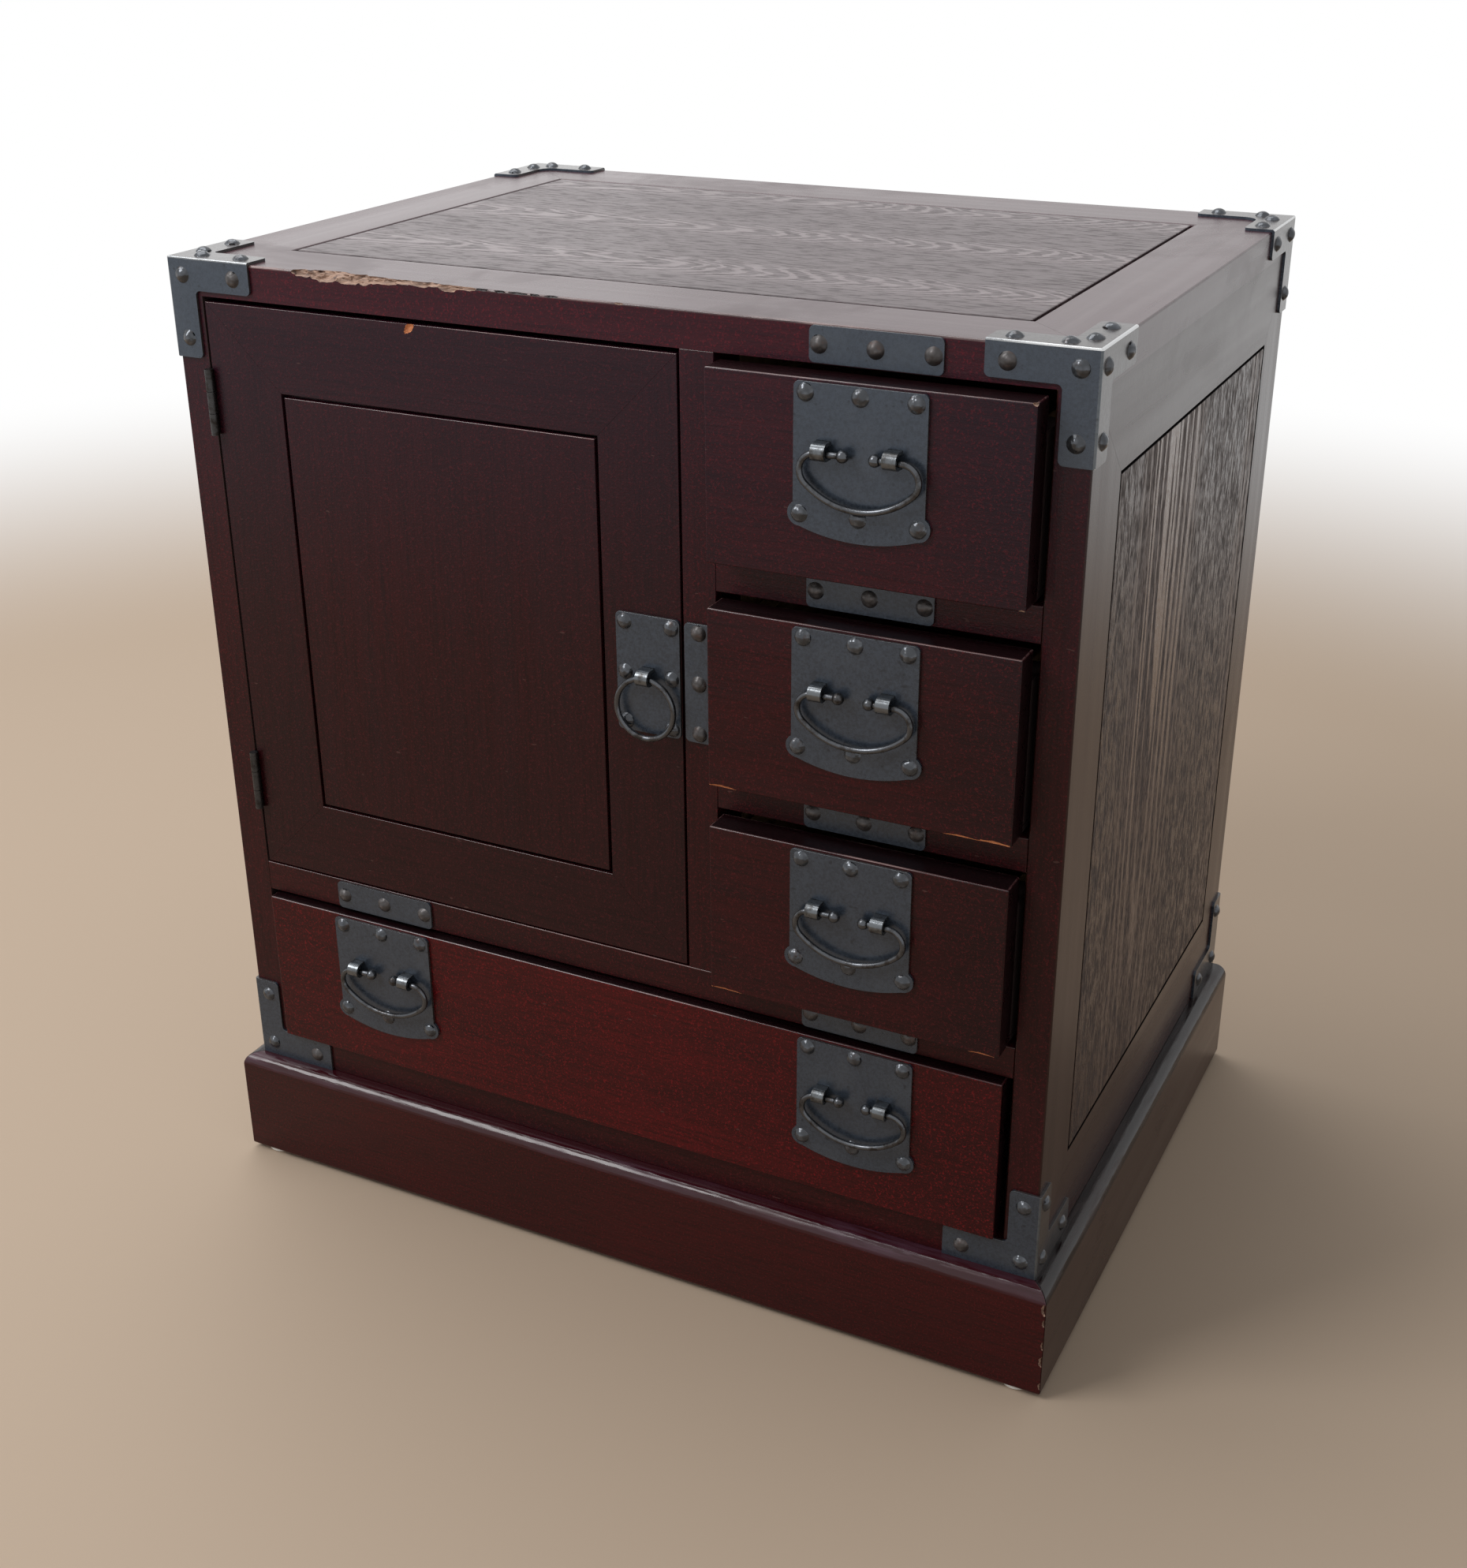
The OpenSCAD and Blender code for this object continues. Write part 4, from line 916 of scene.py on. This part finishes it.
def plate(node):
    """A plate with eased rims; a bracket's level folds have a pale painted highlight, its upright one is like
    the rims, and its side and top flaps are wiped smooth."""
    piece = worked_copy(node, node + "_iron", plate_iron, rim_iron, fold_highlight_iron, wiped_iron)
    ease(piece, 0.0011, on_fold, 3, fold_highlight_iron, clamp=False)
    paint(piece, rim_iron, lambda face: abs(face.normal.z) < EDGE_ON, over=[fold_highlight_iron])
    paint(piece, wiped_iron, on_side_or_top, over=[plate_iron])
    ease(piece, 0.00045, finish=rim_iron, least=50)
    stand_in(piece, node)


def is_staple(low, high):
    return high.x - low.x < NARROW


def on_rail(low, high):
    """True for a nail on the front between its outer stiles."""
    return low.y < FRONT - HAIR and abs(low.x) < BETWEEN_STILES


def fixings(node, other=None, belongs=None):
    """Nails and staples; the parts that belongs() picks get the other finish."""
    finishes = [nail_iron, other] if other else [nail_iron]
    piece = worked_copy(node, node + "_set", *finishes)
    mesh = bmesh.new()
    mesh.from_mesh(piece.data)
    for part in loose_parts(mesh):
        if belongs and belongs(*part_box(part)):
            for face in part:
                face.material_index = 1
    mesh.to_mesh(piece.data)
    mesh.free()
    take(piece)
    bpy.ops.object.shade_smooth_by_angle(angle=math.radians(35))
    stand_in(piece, node)


def make_ironwork():
    for node in ("top_front_brackets", "top_back_brackets", "bottom_front_brackets", "bottom_back_brackets",
                 "rail_plates", "mid_stile_plate", "ring_plate", "upper_pull_plate", "middle_pull_plate",
                 "lower_pull_plate", "long_pull_plates"):
        plate(node)
    fixings("case_nails", brown_nail, on_rail)
    fixings("ring_plate_nails")
    for node in ("upper_pull_fixings", "middle_pull_fixings", "lower_pull_fixings", "long_pull_fixings"):
        fixings(node, staple_steel, is_staple)
    finish_with(nodes["ring_staple"], staple_steel)
    for node in ("upper_bail", "middle_bail", "lower_bail", "long_left_bail", "long_right_bail", "door_ring"):
        finish_with(nodes[node], pull_steel)
    for node in ("hinge_frame_leaves", "hinge_door_leaves", "hinge_pins", "catch_keeper"):
        finish_with(nodes[node], hinge_steel)


# ---------------------------------------------------------------- door and drawers

def make_door():
    boards = worked_copy("door_frame", "door_frame_boards", door_lacquer, door_upright_lacquer, edge_rub_and_highlight,
                         edge_stain_and_shade)
    ease(boards, 0.0010, arris, 2, edge_rub_and_highlight)
    by_member(boards, "z", door_upright_lacquer, door_lacquer, edge_stain_and_shade)
    highlight_only_above(boards, door_upright_lacquer)
    chip(boards, [rough_lump((-0.1125, -0.1882, 0.5848), (0.0043, 0.0011, 0.0022), 21, -0.7)], fresh_chip)
    stand_in(boards, "door_frame")
    panel = worked_copy("door_panel", "door_panel_board", door_grain, edge_rub_and_highlight)
    ease(panel, 0.0004, arris, 2, edge_rub_and_highlight)
    highlight_only_above(panel, door_grain)
    stand_in(panel, "door_panel")


# Each drawer's front: its lacquer, the wood that its chips lay bare, and where the chips are and how large
DRAWERS = {
    "upper": (drawer_lacquer, chip_wood, (
        ((0.2515, -0.2052, 0.5868), (0.0022, 0.0022, 0.0012)),
        ((0.2500, -0.2056, 0.4841), (0.0020, 0.0010, 0.0010)))),
    "middle": (drawer_lacquer, fresh_chip, (
        ((0.0850, -0.2057, 0.3561), (0.0090, 0.0012, 0.0014)),
        ((0.2240, -0.2057, 0.3561), (0.0100, 0.0012, 0.0013)),
        ((0.2420, -0.2057, 0.3561), (0.0098, 0.0013, 0.0017)))),
    "lower": (drawer_lacquer, fresh_chip, (
        ((0.0860, -0.2057, 0.2281), (0.0110, 0.0012, 0.0013)),
        ((0.2420, -0.2057, 0.2281), (0.0080, 0.0013, 0.0015)))),
    "long": (long_lacquer, None, ()),
}
FIRST_CHIP_SEED = 30


def on_board_edge(face):
    """True for the top, the bottom and the ends of an upright board that runs left to right."""
    return max(abs(face.normal.x), abs(face.normal.z)) > FACING


def drawer_front(drawer, material, under, chips):
    node = f"{drawer}_drawer_front"
    piece = worked_copy(node, node + "_board", material, edge_rub_and_highlight, edge_stain_and_shade)
    ease(piece, 0.0009, arris, 3, edge_rub_and_highlight)
    # Painted shade: the front's top, bottom and ends are painted near black, as if in shadow in the gap
    paint(piece, edge_stain_and_shade, on_board_edge, over=[material])
    highlight_only_above(piece, material, 0.5)
    if chips:
        lumps = [rough_lump(spot, size, seed) for seed, (spot, size) in enumerate(chips, FIRST_CHIP_SEED)]
        chip(piece, lumps, under)
    stand_in(piece, node)


def make_drawers():
    for drawer, (material, under, chips) in DRAWERS.items():
        drawer_front(drawer, material, under, chips)
    for drawer in DRAWERS:
        tray = worked_copy(f"{drawer}_drawer_box", f"{drawer}_drawer_tray", tray_wood)
        ease(tray, 0.0006, arris)
        stand_in(tray, f"{drawer}_drawer_box")


# ---------------------------------------------------------------- surroundings

# The floor turns to white between these distances from a point left of the chest's front
WHITE_FROM, WHITE_FULL, WHITE_AROUND = 1.15, 2.4, (-0.1, -0.2, 0)
# The strength of the white world as a light, and as it is seen or mirrored
WORLD_LIGHT, WORLD_SEEN = 0.45, 1.0


def seen_or_mirrored(tree):
    """1 for a ray from the camera, a glossy ray or a transmitted one, else 0."""
    paths = tree.nodes.new("ShaderNodeLightPath")
    total = paths.outputs["Is Camera Ray"]
    for name in ("Is Glossy Ray", "Is Transmission Ray"):
        either = tree.nodes.new("ShaderNodeMath")
        either.operation = "MAXIMUM"
        tree.links.new(total, either.inputs[0])
        tree.links.new(paths.outputs[name], either.inputs[1])
        total = either.outputs[0]
    return total


def set_floor():
    """A pale floor that turns to white away from the chest."""
    bpy.ops.mesh.primitive_plane_add(size=60, location=(0, 0, 0))
    floor = bpy.context.active_object
    floor.name = "floor"
    f = Finish("pale floor")
    f.set(color=(0.415, 0.320, 0.238), rough=0.75)
    reach = f.node("ShaderNodeVectorMath", operation="DISTANCE")
    f.tree.links.new(f.place, reach.inputs[0])
    reach.inputs[1].default_value = WHITE_AROUND
    away = f.between(reach.outputs["Value"], WHITE_FROM, WHITE_FULL)
    white = f.node("ShaderNodeEmission")
    blend = f.node("ShaderNodeMixShader")
    f.join(f.sum("MULTIPLY", away, seen_or_mirrored(f.tree)), blend.inputs["Fac"])
    f.join(f.shader.outputs[0], blend.inputs[1])
    f.join(white.outputs[0], blend.inputs[2])
    f.join(blend.outputs[0], f.tree.nodes["Material Output"].inputs["Surface"])
    finish_with(floor, f.material)


def set_world():
    """A white world that lights the chest less than it shows."""
    world = bpy.data.worlds.new("studio")
    bpy.context.scene.world = world
    world.use_nodes = True
    tree = world.node_tree
    amount = tree.nodes.new("ShaderNodeMapRange")
    tree.links.new(seen_or_mirrored(tree), amount.inputs["Value"])
    amount.inputs["To Min"].default_value = WORLD_LIGHT
    amount.inputs["To Max"].default_value = WORLD_SEEN
    back = tree.nodes["Background"]
    back.inputs["Color"].default_value = (1, 1, 1, 1)
    tree.links.new(amount.outputs["Result"], back.inputs["Strength"])


def lamp(name, spot, aim, size, power):
    """A rectangular lamp that the camera doesn't see."""
    data = bpy.data.lights.new(name, "AREA")
    data.shape = "RECTANGLE"
    data.size, data.size_y = size
    data.energy = power
    made = bpy.data.objects.new(name, data)
    made.location = spot
    made.rotation_euler = (Vector(aim) - Vector(spot)).to_track_quat("-Z", "Y").to_euler()
    made.visible_camera = False
    bpy.context.scene.collection.objects.link(made)


bpy.context.scene.view_settings.view_transform = "Standard"
set_camera()
set_floor()
set_world()
lamp("key", (-1.5, -1.5, 2.3), (0, 0, 0.3), (1.2, 1.2), 42)
lamp("overhead", (-0.9, 0.4, 2.7), (0, 0, 0.3), (1.8, 1.8), 38)
lamp("behind, left", (-2.0, 1.8, 1.2), (0, 0, 0.55), (1.8, 1.2), 1.8)
make_top()
make_sides()
make_front_rails()
make_plinth()
make_inside()
make_ironwork()
make_door()
make_drawers()
deselect()
